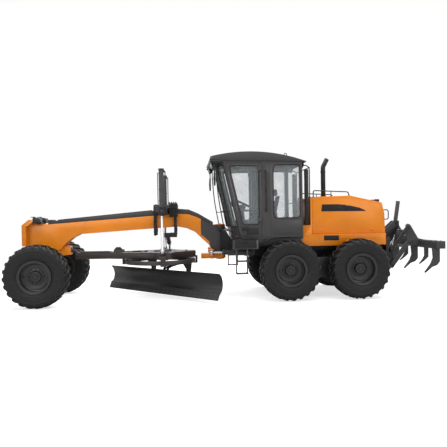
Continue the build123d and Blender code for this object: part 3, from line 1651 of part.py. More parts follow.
# Hood: a thin shell open in front and below, with side grilles and a slot for the exhaust
hood_front_x = hinge_x + hood_front_at
stack_x = hinge_x + stack_at
with BuildPart() as hood:
    with BuildSketch(side_plane(0)):
        with BuildLine():
            Polyline(
                (hood_front_x, hood_split_z),
                (hood_front_x, hood_top_z - 20),
                (hood_front_x - 900, hood_top_z),
                (hood_rear_x + 70, hood_top_z - 170),
                (hood_rear_x + 10, 1900),
                (hood_rear_x, hood_split_z),
                close=True,
            )
        make_face()
    extrude(amount=hood_half, both=True)
    with BuildSketch(side_plane(0)):
        with BuildLine():
            Polyline(
                (hood_front_x + 60, hood_split_z - 10),
                (hood_front_x + 60, hood_top_z - hood_wall - 20),
                (hood_front_x - 900, hood_top_z - hood_wall),
                (hood_rear_x + 70 + hood_wall, hood_top_z - 170 - hood_wall),
                (hood_rear_x + 10 + hood_wall, 1900),
                (hood_rear_x + hood_wall, hood_split_z - 10),
                close=True,
            )
        make_face()
    extrude(amount=hood_half - hood_wall, both=True, mode=Mode.SUBTRACT)
    # Slot for the exhaust
    with BuildSketch(Plane.XY.offset(hood_top_z - 200)):
        with Locations((stack_x - 30, 0)):
            SlotOverall(2 * stack_radius + 190, 2 * stack_radius + 50)
    extrude(amount=300, mode=Mode.SUBTRACT)
    # Ears on the hinge pins of the bulkhead
    for y in (lid_hinge_y, -lid_hinge_y):
        with BuildSketch(side_plane(y)):
            with Locations((bulkhead_x, lid_pin_z)):
                Circle(18)
            with BuildLine():
                Polyline(
                    (bulkhead_x, lid_pin_z + 18),
                    (bulkhead_x, lid_pin_z - 18),
                    (hood_front_x - 30, hood_top_z - 40),
                    (hood_front_x - 80, hood_top_z - 20),
                    close=True,
                )
            make_face()
            with Locations((bulkhead_x, lid_pin_z)):
                Circle(lid_pin_radius + running_gap, mode=Mode.SUBTRACT)
        extrude(amount=28, both=True)
save(hood.part, "hood")

with BuildPart() as exhaust:
    with BuildLine() as stack_path:
        FilletPolyline(
            (stack_x, 0, deck_z + body_wall + engine_height + 2 * seat_gap),
            (stack_x, 0, stack_bend_z),
            (stack_x - 100, 0, stack_bend_z + 190),
            radius=150,
        )
    with BuildSketch(Plane.XY.offset(deck_z + body_wall + engine_height + 2 * seat_gap)):
        with Locations((stack_x, 0)):
            Circle(stack_radius)
    sweep()
save(exhaust.part, "exhaust")

# Handrails beside the cab and the posts behind it
with BuildPart() as handrails:
    for side in (1, -1):
        with BuildSketch(Plane.XY.offset(cowl_high_z + seat_gap)):
            with Locations((cab_rear_x - 140, side * 600)):
                Rectangle(90, 60)
        extrude(amount=post_high_z - cowl_high_z)
save(handrails.part, "handrails")

# Ripper: a parallelogram of lower arms and upper links, with the beam and its shanks
arm_turn = degrees(atan2(ripper_arm_z, ripper_arm_x))
arm_reach = hypot(ripper_arm_x, ripper_arm_z)
ripper_rear_x = ripper_pin_x + ripper_arm_x
ripper_eye_x = tandem_x + ripper_eye_at


for label, z, width in (
    ("ripper_lower_arms", ripper_low_z, 110),
    ("ripper_upper_links", ripper_high_z, 96),
):
    with BuildPart() as link:
        for side in (1, -1):
            with BuildSketch(side_plane(side * (ripper_arm_y - 20))):
                with Locations(Location((ripper_pin_x + ripper_arm_x / 2, z + ripper_arm_z / 2), arm_turn)):
                    SlotCenterToCenter(arm_reach, width)
                with Locations((ripper_pin_x, z)):
                    Circle(ripper_pin_radius + running_gap, mode=Mode.SUBTRACT)
                with Locations((ripper_rear_x, z + ripper_arm_z)):
                    Circle(ripper_pin_radius + running_gap, mode=Mode.SUBTRACT)
            extrude(amount=-side * 40)
        if z == ripper_low_z:
            tube_x = ripper_pin_x + ripper_tube_along * ripper_arm_x
            tube_z = z + ripper_tube_along * ripper_arm_z
            for side in (1, -1):
                with BuildSketch(side_plane(side * ripper_lug_in)):
                    with Locations((tube_x, tube_z)):
                        Circle(38)
                extrude(amount=-side * (ripper_arm_y - ripper_lug_in))
            for v in (ripper_lug_in, -ripper_lug_in - 20):
                with BuildSketch(side_plane(v + 20)):
                    with Locations((ripper_eye_x, ripper_eye_z)):
                        Circle(44)
                    with BuildLine():
                        Polyline(
                            (tube_x + 36, tube_z),
                            (ripper_eye_x + 44, ripper_eye_z),
                            (ripper_eye_x - 44, ripper_eye_z),
                            (tube_x - 36, tube_z),
                            close=True,
                        )
                    make_face()
                extrude(amount=20)
        with BuildSketch(side_plane(0)):
            with Locations((ripper_pin_x + 0.8 * ripper_arm_x, z + 0.8 * ripper_arm_z)):
                Circle(30)
        extrude(amount=ripper_arm_y, both=True)
    save(link.part, label)

with BuildPart() as ripper_beam:
    with BuildSketch(side_plane(0)):
        with Locations((tail_x + beam_depth / 2, (beam_low_z + beam_high_z) / 2)):
            Rectangle(beam_depth, beam_high_z - beam_low_z)
    extrude(amount=beam_half, both=True)
    low_z = ripper_low_z + ripper_arm_z
    high_z = ripper_high_z + ripper_arm_z
    for side in (1, -1):
        with BuildSketch(side_plane(side * (ripper_arm_y - 60))):
            with BuildLine():
                Polyline(
                    (ripper_rear_x + 60, low_z - 50),
                    (ripper_rear_x + 50, high_z + 30),
                    (ripper_rear_x, high_z + 60),
                    (ripper_rear_x - 60, high_z + 30),
                    (tail_x + beam_depth + 20, beam_high_z + 40),
                    (tail_x + 60, beam_high_z),
                    (tail_x + 60, beam_low_z + 20),
                    (ripper_rear_x, low_z - 80),
                    close=True,
                )
            make_face()
        extrude(amount=-side * 32)
        for z in (low_z, high_z):
            with BuildSketch(side_plane(side * (ripper_arm_y - 50))):
                with Locations((ripper_rear_x, z)):
                    Circle(ripper_pin_radius)
            extrude(amount=-side * 84)
    # Three large shanks and two small ones
    for y, outline, thick in (
        (1000, shank_outline, 60),
        (0, shank_outline, 60),
        (-1000, shank_outline, 60),
        (500, scarifier_outline, 40),
        (-500, scarifier_outline, 40),
    ):
        with BuildSketch(side_plane(y)):
            with BuildLine():
                Polyline(*[(tail_x + x, beam_low_z + z) for x, z in outline], close=True)
            make_face()
        extrude(amount=thick / 2, both=True)
save(ripper_beam.part, "ripper_beam")

cylinder_pair(
    "ripper",
    (mast_x, 0, mast_z),
    (ripper_eye_x, 0, ripper_eye_z),
    (-545, 70),
    -330,
    (0, 1, 0),
    (48, 26),
    (2 * (mast_in + mast_plate), 2 * ripper_lug_in - 10),
    trunnion=True,
)
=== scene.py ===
from math import cos, hypot, pi, radians, sin
import bmesh
import bpy
from mathutils import Matrix, Vector


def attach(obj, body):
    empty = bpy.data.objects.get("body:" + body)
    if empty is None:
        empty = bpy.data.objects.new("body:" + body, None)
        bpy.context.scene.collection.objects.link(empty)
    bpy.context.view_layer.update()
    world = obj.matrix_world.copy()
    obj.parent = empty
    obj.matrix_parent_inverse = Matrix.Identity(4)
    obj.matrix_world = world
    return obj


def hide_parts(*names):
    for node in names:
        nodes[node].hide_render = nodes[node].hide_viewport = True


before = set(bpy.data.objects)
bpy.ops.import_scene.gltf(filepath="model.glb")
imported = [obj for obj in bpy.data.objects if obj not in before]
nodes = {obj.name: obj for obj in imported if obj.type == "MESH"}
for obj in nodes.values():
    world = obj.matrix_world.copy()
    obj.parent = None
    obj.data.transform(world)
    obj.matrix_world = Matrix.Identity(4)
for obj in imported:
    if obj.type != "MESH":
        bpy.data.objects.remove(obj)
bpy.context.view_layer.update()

# Places that the frame fixes, in metres
HINGE_X = 0.2
FRONT_X = 4.163
MID_X = -1.271
REAR_X = -2.843
WHEEL_Y = 1.0275
WHEEL_R = 0.674
CAB_REAR = -1.64
CAB_CORNER = -0.235
CAB_FRONT = -0.085
CAB_LEAN = 0.225
CAB_FLOOR = 1.36
CAB_HALF = 0.8
DOOR_REAR = -0.7
HOOD_HALF = 0.68
BODY_HALF = 0.765
CIRCLE_X = 1.623
BLADE_TURN = radians(46.5)
BEAM_HALF = 0.1705
BLADE_HALF = 1.829
LIFT_X = 1.53
LIFT_Y = 0.8
TAIL_X = -4.837

# Directions, and the order in which a mirrored piece is drawn, which ends on the left
UP = (0, 0, 1)
LEFT = (0, 1, 0)
SIDES = (-1, 1)


# Materials
class Net:
    """The nodes of a material or of the world, with the few kinds that are used here."""

    def __init__(self, tree):
        self.nodes = tree.nodes
        self.links = tree.links
        self.shader = None
        self.place = None

    def noise(self, scale, detail=4.0, rough=0.6):
        tex = self.nodes.new("ShaderNodeTexNoise")
        for key, number in (("Scale", scale), ("Detail", detail), ("Roughness", rough)):
            tex.inputs[key].default_value = number
        self.links.new(self.place, tex.inputs["Vector"])
        return tex.outputs["Fac"]

    def wave(self, scale, turn="X", distortion=0.0):
        tex = self.nodes.new("ShaderNodeTexWave")
        tex.bands_direction = turn
        tex.inputs["Scale"].default_value = scale
        tex.inputs["Distortion"].default_value = distortion
        self.links.new(self.place, tex.inputs["Vector"])
        return tex.outputs["Fac"]

    def span(self, value, low, high, out_low, out_high):
        node = self.nodes.new("ShaderNodeMapRange")
        for key, number in (("From Min", low), ("From Max", high), ("To Min", out_low),
                            ("To Max", out_high)):
            node.inputs[key].default_value = number
        self.links.new(value, node.inputs["Value"])
        return node.outputs["Result"]

    def math(self, kind, a, b):
        node = self.nodes.new("ShaderNodeMath")
        node.operation = kind
        for socket, value in zip(node.inputs, (a, b)):
            if isinstance(value, (int, float)):
                socket.default_value = value
            else:
                self.links.new(value, socket)
        return node.outputs[0]

    def mix(self, factor, a, b):
        node = self.nodes.new("ShaderNodeMix")
        node.data_type = "RGBA"
        self.links.new(factor, node.inputs["Factor"])
        for key, value in (("A", a), ("B", b)):
            socket = [s for s in node.inputs if s.name == key and s.type == "RGBA"][0]
            if isinstance(value, tuple):
                socket.default_value = (*value, 1)
            else:
                self.links.new(value, socket)
        return [s for s in node.outputs if s.type == "RGBA"][0]

    def side_of(self, terms):
        """1 where every (x, y, z, limit) has its weighted sum above the limit."""
        result = None
        for x, y, z, limit in terms:
            dot = self.nodes.new("ShaderNodeVectorMath")
            dot.operation = "DOT_PRODUCT"
            self.links.new(self.place, dot.inputs[0])
            dot.inputs[1].default_value = (x, y, z)
            above = self.math("GREATER_THAN", dot.outputs["Value"], limit)
            result = above if result is None else self.math("MULTIPLY", result, above)
        return result

    def bump(self, height, strength):
        node = self.nodes.new("ShaderNodeBump")
        node.inputs["Strength"].default_value = strength
        node.inputs["Distance"].default_value = 0.002
        self.links.new(height, node.inputs["Height"])
        self.feed("Normal", node.outputs["Normal"])

    def feed(self, socket, value):
        """Give the shader a number on its own socket, or what a node puts out."""
        if isinstance(value, (int, float)):
            self.shader.inputs[socket].default_value = value
        else:
            self.links.new(value, self.shader.inputs[socket])


def new_material(name):
    mat = bpy.data.materials.new(name)
    mat.use_nodes = True
    net = Net(mat.node_tree)
    net.shader = net.nodes["Principled BSDF"]
    net.place = net.nodes.new("ShaderNodeTexCoord").outputs["Object"]
    return mat, net


def shade(colour, share):
    return tuple(min(1, c * share) for c in colour)


ORANGE_RGB = (0.76, 0.228, 0.008)
GREY_RGB = (0.046, 0.044, 0.044)
BLACK_RGB = (0.012, 0.012, 0.013)
DUST_RGB = (0.23, 0.2, 0.165)
DUST_LOW, DUST_HIGH = 0.2, 1.5


def paint(name, colour, rough, other=None, regions=(), dust=0.12, coat=0.0, metal=0.0, grain=0.05,
          grain_scale=240, gloss=0.3):
    """Paint or moulding with slow colour change, dust that gathers low down and a fine grain."""
    mat, net = new_material(name)
    tone = net.span(net.noise(2.2), 0.3, 0.7, 0, 1)
    base = net.mix(tone, shade(colour, 0.93), shade(colour, 1.06))
    for terms in regions:
        base = net.mix(net.side_of(terms), base, other)
    split = net.nodes.new("ShaderNodeSeparateXYZ")
    net.links.new(net.place, split.inputs[0])
    low = net.span(split.outputs["Z"], DUST_LOW, DUST_HIGH, dust, dust * 0.15)
    spots = net.span(net.noise(14, 6, 0.7), 0.45, 0.75, 0, 1)
    net.feed("Base Color", net.mix(net.math("MULTIPLY", low, spots), base, DUST_RGB))
    net.feed("Roughness", net.span(net.noise(9, 5), 0.3, 0.7, rough - 0.05, rough + 0.08))
    net.bump(net.noise(grain_scale, 2), grain)
    net.feed("Metallic", metal)
    net.feed("Coat Weight", coat)
    net.feed("Coat Roughness", 0.12)
    net.feed("Specular IOR Level", gloss)
    return mat


def glass_material(name, colour, alpha):
    mat, net = new_material(name)
    net.feed("Alpha", net.span(net.noise(3.5), 0.3, 0.7, alpha * 0.8, alpha * 1.25))
    net.feed("Base Color", net.mix(net.noise(1.3), shade(colour, 0.9), colour))
    net.feed("Roughness", 0.05)
    net.feed("Specular IOR Level", 0.8)
    return mat


def weave_material(name, colour):
    mat, net = new_material(name)
    height = net.math("MULTIPLY", net.wave(95, "X", 0.6), net.wave(95, "Z", 0.6))
    # The weave's low places get a darker colour: painted shade in the hollows between the threads.
    net.feed("Base Color", net.mix(height, shade(colour, 0.6), colour))
    net.bump(height, 0.5)
    net.feed("Roughness", 0.9)
    net.feed("Sheen Weight", 0.25)
    return mat


def lamp_material(name, colour):
    mat, net = new_material(name)
    net.feed("Base Color", net.mix(net.wave(60), shade(colour, 0.75), colour))
    net.feed("Roughness", 0.12)
    net.feed("Coat Weight", 0.6)
    return mat


M = {
    "orange": paint("orange_paint", ORANGE_RGB, 0.34, dust=0.03, coat=0.12),
    "grey": paint("grey_paint", GREY_RGB, 0.4, dust=0.03),
    "cabgrey": paint("cab_paint", (0.05, 0.047, 0.047), 0.34, dust=0.02, coat=0.12),
    "black": paint("black_paint", BLACK_RGB, 0.36, dust=0.03),
    "blade": paint("blade_paint", (0.014, 0.014, 0.015), 0.34, dust=0.02, grain=0.12),
    "drawbar": paint("drawbar_paint", (0.04, 0.03, 0.029), 0.42, dust=0.05),
    "rim": paint("rim_paint", (0.02, 0.02, 0.022), 0.28, dust=0.02, coat=0.15),
    "plastic": paint("moulded_plastic", (0.02, 0.02, 0.022), 0.55, dust=0.04, grain=0.35, grain_scale=420),
    "trim": paint("cab_lining", (0.16, 0.16, 0.165), 0.6, dust=0.02, grain=0.3, grain_scale=380),
    "iron": paint("cast_iron", (0.06, 0.06, 0.06), 0.6, dust=0.2, grain=0.5, grain_scale=130),
    "steel": paint("bare_steel", (0.33, 0.32, 0.31), 0.38, dust=0.08, metal=0.85, grain=0.2,
                   grain_scale=160),
    "chrome": paint("rod_chrome", (0.5, 0.51, 0.53), 0.2, dust=0.02, metal=1.0, grain=0.01),
    "rubber": paint("black_rubber", (0.014, 0.014, 0.015), 0.62, dust=0.05, grain=0.3, grain_scale=300),
    "tyre": paint("tyre_rubber", (0.011, 0.011, 0.012), 0.45, dust=0.04, grain=0.3, grain_scale=190,
                  gloss=0.22),
    "frame": paint("front_frame_paint", ORANGE_RGB, 0.32, GREY_RGB,
                   [[(-1, 0, 0, -0.64), (-0.935, 0, 1, 0.868)]], dust=0.03, coat=0.12),
    "lower": paint("lower_body_paint", ORANGE_RGB, 0.33, GREY_RGB, [[(1, 0, 0, -1.63)]], dust=0.04,
                   coat=0.12),
    "glass": glass_material("window_glass", (0.42, 0.48, 0.5), 0.17),
    "fabric": weave_material("seat_fabric", (0.06, 0.06, 0.068)),
    "lens": lamp_material("lamp_lens", (0.62, 0.64, 0.66)),
    "red_lens": lamp_material("red_lens", (0.45, 0.02, 0.015)),
    "mirror": paint("mirror_glass", (0.7, 0.72, 0.75), 0.08, dust=0.02, metal=1.0, grain=0.0),
}


# Mesh tools
def frame_to(at, way):
    """Matrix that stands local Z along a direction at a point."""
    return Matrix.Translation(at) @ Vector(way).normalized().to_track_quat("Z", "Y").to_matrix().to_4x4()


def spots_round(radius, count, turn=0.0):
    """Pairs of numbers evenly round a circle, the first of them turned from its start."""
    angles = [2 * pi * k / count + turn for k in range(count)]
    return [(radius * cos(a), radius * sin(a)) for a in angles]


def skin(bm, rings, close=False):
    """Faces from ring to ring, where one point alone is a tip, and over the ends unless it closes."""
    pairs = list(zip(rings, rings[1:])) + ([(rings[-1], rings[0])] if close else [])
    for one, two in pairs:
        count = max(len(one), len(two))
        for k in range(count if count > 1 else 0):
            m = (k + 1) % count
            corners = [one[k], one[m]] if len(one) > 1 else [one[0]]
            corners += [two[m], two[k]] if len(two) > 1 else [two[0]]
            bm.faces.new(corners)
    if not close:
        for ring in (rings[0], rings[-1]):
            if len(ring) > 2:
                bm.faces.new(ring)


class Piece:
    """Collects parts of one mesh, then makes the object and lets it ride on its body.

    What is drawn while side is -1 goes to the right of the middle, as a mirror image.
    """

    def __init__(self, side=1):
        self.bm = bmesh.new()
        self.side = side

    def take(self, bm, bevel=0.0, segments=2):
        for vert in bm.verts:
            vert.co.y *= self.side
        bmesh.ops.recalc_face_normals(bm, faces=bm.faces)
        if bevel:
            sharp = [e for e in bm.edges if len(e.link_faces) == 2 and e.calc_face_angle(0) > 0.5]
            bmesh.ops.bevel(bm, geom=sharp, offset=bevel, segments=segments, profile=0.6, affect="EDGES",
                            clamp_overlap=True)
        mesh = bpy.data.meshes.new("part")
        bm.to_mesh(mesh)
        bm.free()
        self.bm.from_mesh(mesh)
        bpy.data.meshes.remove(mesh)

    def block(self, at, size, bevel=0.006, turn=None):
        bm = bmesh.new()
        place = Matrix.Translation(at) @ (turn or Matrix.Identity(4)) @ Matrix.Diagonal((*size, 1))
        bmesh.ops.create_cube(bm, size=1, matrix=place)
        self.take(bm, bevel)

    def prism(self, outline, low, high, axis="Y", bevel=0.004):
        """An outline across an axis, from low to high along it."""
        bm = bmesh.new()
        rings = []
        for level in (low, high):
            points = [{"X": (level, a, b), "Y": (a, level, b)}[axis] for a, b in outline]
            rings.append([bm.verts.new(p) for p in points])
        skin(bm, rings)
        self.take(bm, bevel)

    def slab(self, along, rise, low, high, bevel=0.004):
        """A flat box from along[0] to along[1] in X, rise[0] to rise[1] in Z and low to high in Y."""
        (x0, x1), (z0, z1) = along, rise
        self.prism([(x0, z0), (x1, z0), (x1, z1), (x0, z1)], low, high, "Y", bevel)

    def staple(self, along, foot, top, z, radius, fillet, sides):
        """A level grab handle between two places in X, standing from foot to top in Y."""
        x0, x1 = along
        self.tube([(x0, foot, z), (x0, top, z), (x1, top, z), (x1, foot, z)], radius, fillet, sides)

    def tube(self, points, radius, fillet=0.06, sides=12, close=False):
        """A round bar along points, with its corners rounded."""
        path = rounded([Vector(p) for p in points], fillet, close)
        bm = bmesh.new()
        rings = []
        count = len(path)
        up = None
        for i, p in enumerate(path):
            if close:
                way = path[(i + 1) % count] - path[i - 1]
            else:
                way = path[min(i + 1, count - 1)] - path[max(i - 1, 0)]
            way.normalize()
            if up is None:
                up = way.orthogonal().normalized()
            up = (up - way * up.dot(way)).normalized()
            across = way.cross(up)
            rings.append([bm.verts.new(p + up * a + across * b) for a, b in spots_round(radius, sides)])
        skin(bm, rings, close)
        self.take(bm)

    def lathe(self, profile, at, way, sides=40, close=False):
        """A profile of (radius, height) turned about a direction."""
        place = frame_to(at, way)
        bm = bmesh.new()
        rings = []
        for radius, height in profile:
            spots = spots_round(radius, sides) if radius > 0 else [(0, 0)]
            rings.append([bm.verts.new(place @ Vector((a, b, height))) for a, b in spots])
        skin(bm, rings, close)
        self.take(bm)

    def bolt(self, at, way, radius=0.014, height=0.012):
        """A hexagon head on its washer."""
        self.lathe([(radius * 1.35, -0.002), (radius * 1.35, 0.003), (0, 0.003)], at, way, 16)
        rim = radius * 0.93
        self.lathe([(radius, 0.002), (radius, height * 0.8), (rim, height), (0, height)], at, way, 6)

    def cap(self, at, way, radius, height):
        """A turned pin head with a chamfer and a small centre bolt."""
        edge = radius - 0.006
        self.lathe([(radius, -0.004), (radius, height - 0.006), (edge, height), (0, height)], at, way, 28)
        self.bolt(Vector(at) + Vector(way).normalized() * height, way, radius * 0.32)

    def done(self, name, mat, body, slot, smooth=0.6):
        mesh = bpy.data.meshes.new(name)
        self.bm.to_mesh(mesh)
        self.bm.free()
        mesh.materials.append(M[mat])
        obj = bpy.data.objects.new(name, mesh)
        bpy.context.scene.collection.objects.link(obj)
        soften(obj, smooth)
        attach(obj, body)
        return obj


def rounded(points, fillet, close):
    """The points with each corner turned into a short arc."""
    count = len(points)
    path = []
    for i, p in enumerate(points):
        if not close and i in (0, count - 1):
            path.append(p)
            continue
        before = points[i - 1]
        after = points[(i + 1) % count]
        reach = min(fillet, (p - before).length * 0.45, (p - after).length * 0.45)
        a = p + (before - p).normalized() * reach
        b = p + (after - p).normalized() * reach
        for step in range(6):
            t = step / 5
            path.append(a * (1 - t) ** 2 + p * 2 * t * (1 - t) + b * t ** 2)
    return path


def soften(obj, angle):
    """Smooth shading that keeps edges sharper than an angle."""
    mesh = obj.data
    mesh.shade_smooth()
    bm = bmesh.new()
    bm.from_mesh(mesh)
    for edge in bm.edges:
        if len(edge.link_faces) != 2 or edge.calc_face_angle(0) > angle:
            edge.smooth = False
    bm.to_mesh(mesh)
    bm.free()


# Finishes of the CAD nodes, by a whole name or by how it starts or ends
FINISH = {
    "rim_": "rim", "tyre_": "tyre", "front_frame": "frame", "pipe_cover": "grey", "lift_saddle": "black",
    "front_axle": "grey", "lean_": "grey", "knuckle_": "grey", "tie_rod": "black", "drawbar": "drawbar",
    "circle": "grey", "blade_carrier": "black", "moldboard": "blade", "blade_tip_barrel": "black",
    "blade_tip_rod": "chrome", "rear_frame": "black", "rear_axle": "black", "tandem_housings": "black",
    "engine": "iron", "lower_body": "lower", "cab_shell": "cabgrey", "cab_glass": "glass", "seat": "fabric",
    "steering_console": "plastic", "door_left_glass": "glass", "door_right_glass": "glass",
    "door_left": "cabgrey", "door_right": "cabgrey", "handrails": "black", "hood": "orange",
    "exhaust": "black", "ripper_rod": "chrome", "ripper_": "grey", "_rod": "chrome", "_barrel": "grey",
}
SHARP_NODES = ("cab_glass", "door_left_glass", "door_right_glass")
for name, obj in nodes.items():
    key = name if name in FINISH else next(k for k in FINISH if name.startswith(k) or name.endswith(k))
    obj.data.materials.clear()
    obj.data.materials.append(M[FINISH[key]])
    if name not in SHARP_NODES and not name.startswith("tyre_"):
        weld = obj.modifiers.new("weld", "WELD")
        weld.merge_threshold = 0.00005
        round_off = obj.modifiers.new("round", "BEVEL")
        round_off.width = 0.004
        round_off.segments = 2
        round_off.limit_method = "ANGLE"
        round_off.angle_limit = radians(40)
        round_off.harden_normals = True
        obj.data.shade_smooth()

# Wheels
LUGS = 24
CARCASS = [
    (0.317, -0.184), (0.356, -0.184), (0.372, -0.197), (0.402, -0.205), (0.41, -0.2125), (0.42, -0.2125),
    (0.428, -0.2145), (0.47, -0.2215), (0.51, -0.2225), (0.545, -0.2195), (0.55, -0.222), (0.56, -0.2205),
    (0.588, -0.2125), (0.612, -0.2), (0.628, -0.178), (0.636, -0.14), (0.641, -0.07), (0.642, 0.0),
]
LUG_PATH = [
    (-0.014, 0.674, 0, 1), (0.05, 0.6735, 0, 1), (0.11, 0.671, 0.05, 1), (0.16, 0.664, 0.25, 1),
    (0.192, 0.649, 0.6, 0.8), (0.211, 0.625, 0.9, 0.45), (0.22, 0.597, 1, 0.2), (0.2205, 0.572, 1, 0.05),
]


def tyre_mesh(side):
    piece = Piece()
    profile = CARCASS + [(r, -y) for r, y in reversed(CARCASS[:-1])]
    piece.lathe(profile, (0, 0, 0), (0, side, 0), 96, close=True)
    for half in (1, -1):
        for index in range(LUGS):
            start = 2 * pi * (index + (0.25 if half > 0 else 0.75)) / LUGS
            bm = bmesh.new()
            rings = []
            for y, r, ny, nr in LUG_PATH:
                size = hypot(ny, nr)
                base_y, base_r = y - 0.05 * ny / size, r - 0.05 * nr / size
                turn = start + side * 0.85 * max(y, 0)
                ring = []
                for yy, rr, wide in ((base_y, base_r, -0.034), (y, r, -0.023), (y, r, 0.023),
                                     (base_y, base_r, 0.034)):
                    a = turn + wide / r
                    ring.append(bm.verts.new((rr * cos(a), half * yy, rr * sin(a))))
                rings.append(ring)
            skin(bm, rings)
            piece.take(bm, 0.005, 1)
    mesh = bpy.data.meshes.new(f"tyre_mesh_{'left' if side > 0 else 'right'}")
    piece.bm.to_mesh(mesh)
    piece.bm.free()
    mesh.materials.append(M["tyre"])
    return mesh


tyre_meshes = {side: tyre_mesh(side) for side in (1, -1)}
for row, x, disc in (("front", FRONT_X, 0.03), ("mid", MID_X, -0.012), ("rear", REAR_X, -0.012)):
    for label, side in (("left", 1), ("right", -1)):
        body = f"wheel_{row}_{label}"
        centre = Vector((x, side * WHEEL_Y, WHEEL_R))
        out = Vector((0, side, 0))
        tyre = bpy.data.objects.new(f"tread_tyre_{row}_{label}", tyre_meshes[side].copy())
        bpy.context.scene.collection.objects.link(tyre)
        tyre.location = centre
        soften(tyre, 0.6)
        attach(tyre, body)
        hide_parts(f"tyre_{row}_{label}")
        trim = Piece()
        ring = [(0.3, 0.196), (0.333, 0.2), (0.352, 0.205), (0.357, 0.198), (0.352, 0.19), (0.3, 0.188)]
        trim.lathe(ring, centre, out, 72, close=True)
        ring = [(0.262, disc + 0.044), (0.27, disc + 0.052), (0.28, disc + 0.046), (0.27, disc + 0.03)]
        trim.lathe(ring, centre, out, 72, close=True)
        ring = [(0.17, disc + 0.02), (0.17, disc + 0.032), (0.164, disc + 0.036), (0.12, disc + 0.036),
                (0.12, disc + 0.02)]
        trim.lathe(ring, centre, out, 56, close=True)
        for a, b in spots_round(0.143, 12):
            trim.bolt(centre + Vector((a, 0, b)) + out * (disc + 0.036), out, 0.0135, 0.02)
        for a, b in spots_round(0.072, 8, pi / 8):
            trim.bolt(centre + Vector((a, 0, b)) + out * 0.092, out, 0.008, 0.01)
        trim.lathe([(0.05, 0.09), (0.05, 0.102), (0.044, 0.108), (0.016, 0.11), (0.0, 0.111)], centre, out,
                   32)
        # Valve stem, from the disc out past the rim's inner wall
        stem = [(0.235, 0.035), (0.24, 0.075), (0.265, 0.09)]
        trim.tube([centre + Vector((a, 0, 0)) + out * (disc + b) for a, b in stem], 0.007, 0.02, 8)
        trim.done(f"rim_trim_{row}_{label}", "rim", body, "rim_paint")

# Front frame: lamps, nose bolts, weld lines, saddle valve block
lamps = Piece()
lenses = Piece()
for y in (0.235, -0.235):
    lamps.prism([(4.28, 1.79), (4.30, 1.905), (4.43, 1.93), (4.455, 1.91), (4.455, 1.80)], y - 0.1,
                y + 0.1, "Y", 0.012)
    lamps.block((4.37, y * 0.72, 1.782), (0.09, 0.12, 0.02), 0.005)
    lamps.prism([(4.45, 1.925), (4.5, 1.93), (4.5, 1.94), (4.44, 1.945)], y - 0.1, y + 0.1, "Y", 0.003)
    for z in (1.835, 1.885):
        lenses.prism([(4.452, z - 0.019), (4.462, z - 0.015), (4.462, z + 0.015), (4.452, z + 0.019)],
                     y - 0.08, y + 0.08)
lamps.block((4.12, 0, 1.845), (0.12, 0.26, 0.05), 0.01)
lamps.done("head_lamp_housings", "black", "front_body", "black_paint")
lenses.done("head_lamp_lenses", "lens", "front_body", "window_glass")

nose = Piece()
for y in (0.27, 0.16, -0.16, -0.27):
    for z in (1.34, 1.52, 1.7):
        nose.bolt((4.7, y, z), (1, 0, 0), 0.015, 0.0115)
for nose.side in SIDES:
    for z in (1.36, 1.48, 1.6, 1.72):
        nose.bolt((4.65, 0.32, z), LEFT, 0.012, 0.01)
nose.done("nose_bolts", "orange", "front_body", "orange_paint")

welds = Piece()
for welds.side in SIDES:
    low_line = [(0.99, 1.668), (1.2, 1.669), (2.4, 1.598), (3.46, 1.532), (3.62, 1.45), (3.77, 1.33),
                (3.9, 1.18)]
    welds.tube([(x, BEAM_HALF, z) for x, z in low_line], 0.006, 0.03, 8)
    for x, low, high in ((2.62, 1.585, 1.86), (3.42, 1.535, 1.8)):
        welds.tube([(x, BEAM_HALF, low), (x - 0.12, BEAM_HALF, high)], 0.005, 0.02, 8)
    welds.tube([(4.61, BEAM_HALF, 1.29), (4.61, BEAM_HALF, 1.8)], 0.008, 0.02, 8)
welds.done("beam_weld_lines", "orange", "front_body", "orange_paint")

cover = Piece()
for cover.side in SIDES:
    for k in range(14):
        x = 4.05 - k * 0.155
        t = (FRONT_X - x) / (FRONT_X - 1.75)
        z = 1.764 + t * 0.163 + (0.07 + t * 0.052) * 0.5
        cover.bolt((x, 0.15, z), LEFT, 0.011, 0.009)
    cover.tube([(4.1, 0.151, 1.79), (1.76, 0.151, 1.95)], 0.006, 0.02, 8)
    cover.tube([(3.95, 0.11, 1.86), (1.8, 0.11, 2.052)], 0.011, 0.02, 10)
cover.done("pipe_cover_fixings", "grey", "front_body", "grey_paint")

valves = Piece()
for valves.side in SIDES:
    for k in range(4):
        x = 1.215 + k * 0.048
        valves.block((x, 0.36, 2.06), (0.044, 0.12, 0.24))
        valves.lathe([(0.016, 0), (0.016, 0.03), (0.012, 0.04), (0, 0.04)], (x, 0.36, 2.18), UP, 16)
        valves.lathe([(0.014, 0), (0.014, 0.025), (0.009, 0.032), (0, 0.032)], (x, 0.42, 2.1), LEFT, 14)
    valves.block((1.287, 0.3, 2.04), (0.2, 0.03, 0.3))
    # Lock cylinder that hangs below the saddle
    valves.lathe([(0.0, 0), (0.034, 0), (0.034, 0.22), (0.02, 0.235), (0.02, 0.3), (0, 0.3)],
                 (1.715, 0.275, 1.76), (0, 0, -1), 28)
    valves.block((1.715, 0.262, 1.74), (0.075, 0.07, 0.06), 0.008)
    for x in (1.235, 1.725):
        for z in (1.52, 1.62, 1.88, 2.12):
            valves.bolt((x + 0.005, 0.23, z), LEFT)
for y in (-0.18, -0.06, 0.06, 0.18):
    for x in (1.26, 1.7):
        valves.bolt((x, y, 2.18), UP, 0.017, 0.014)
# Hard pipes from the valve block, bent over the saddle's rear
for k in range(4):
    x, y = 1.235 + 0.048 * k, 0.02 + 0.028 * k
    valves.tube([(x, 0.36, 2.19), (x, 0.36, 2.235), (x, y, 2.235), (x, y, 2.182)], 0.009, 0.03, 10)
valves.done("saddle_valve_block", "black", "front_body", "black_paint")

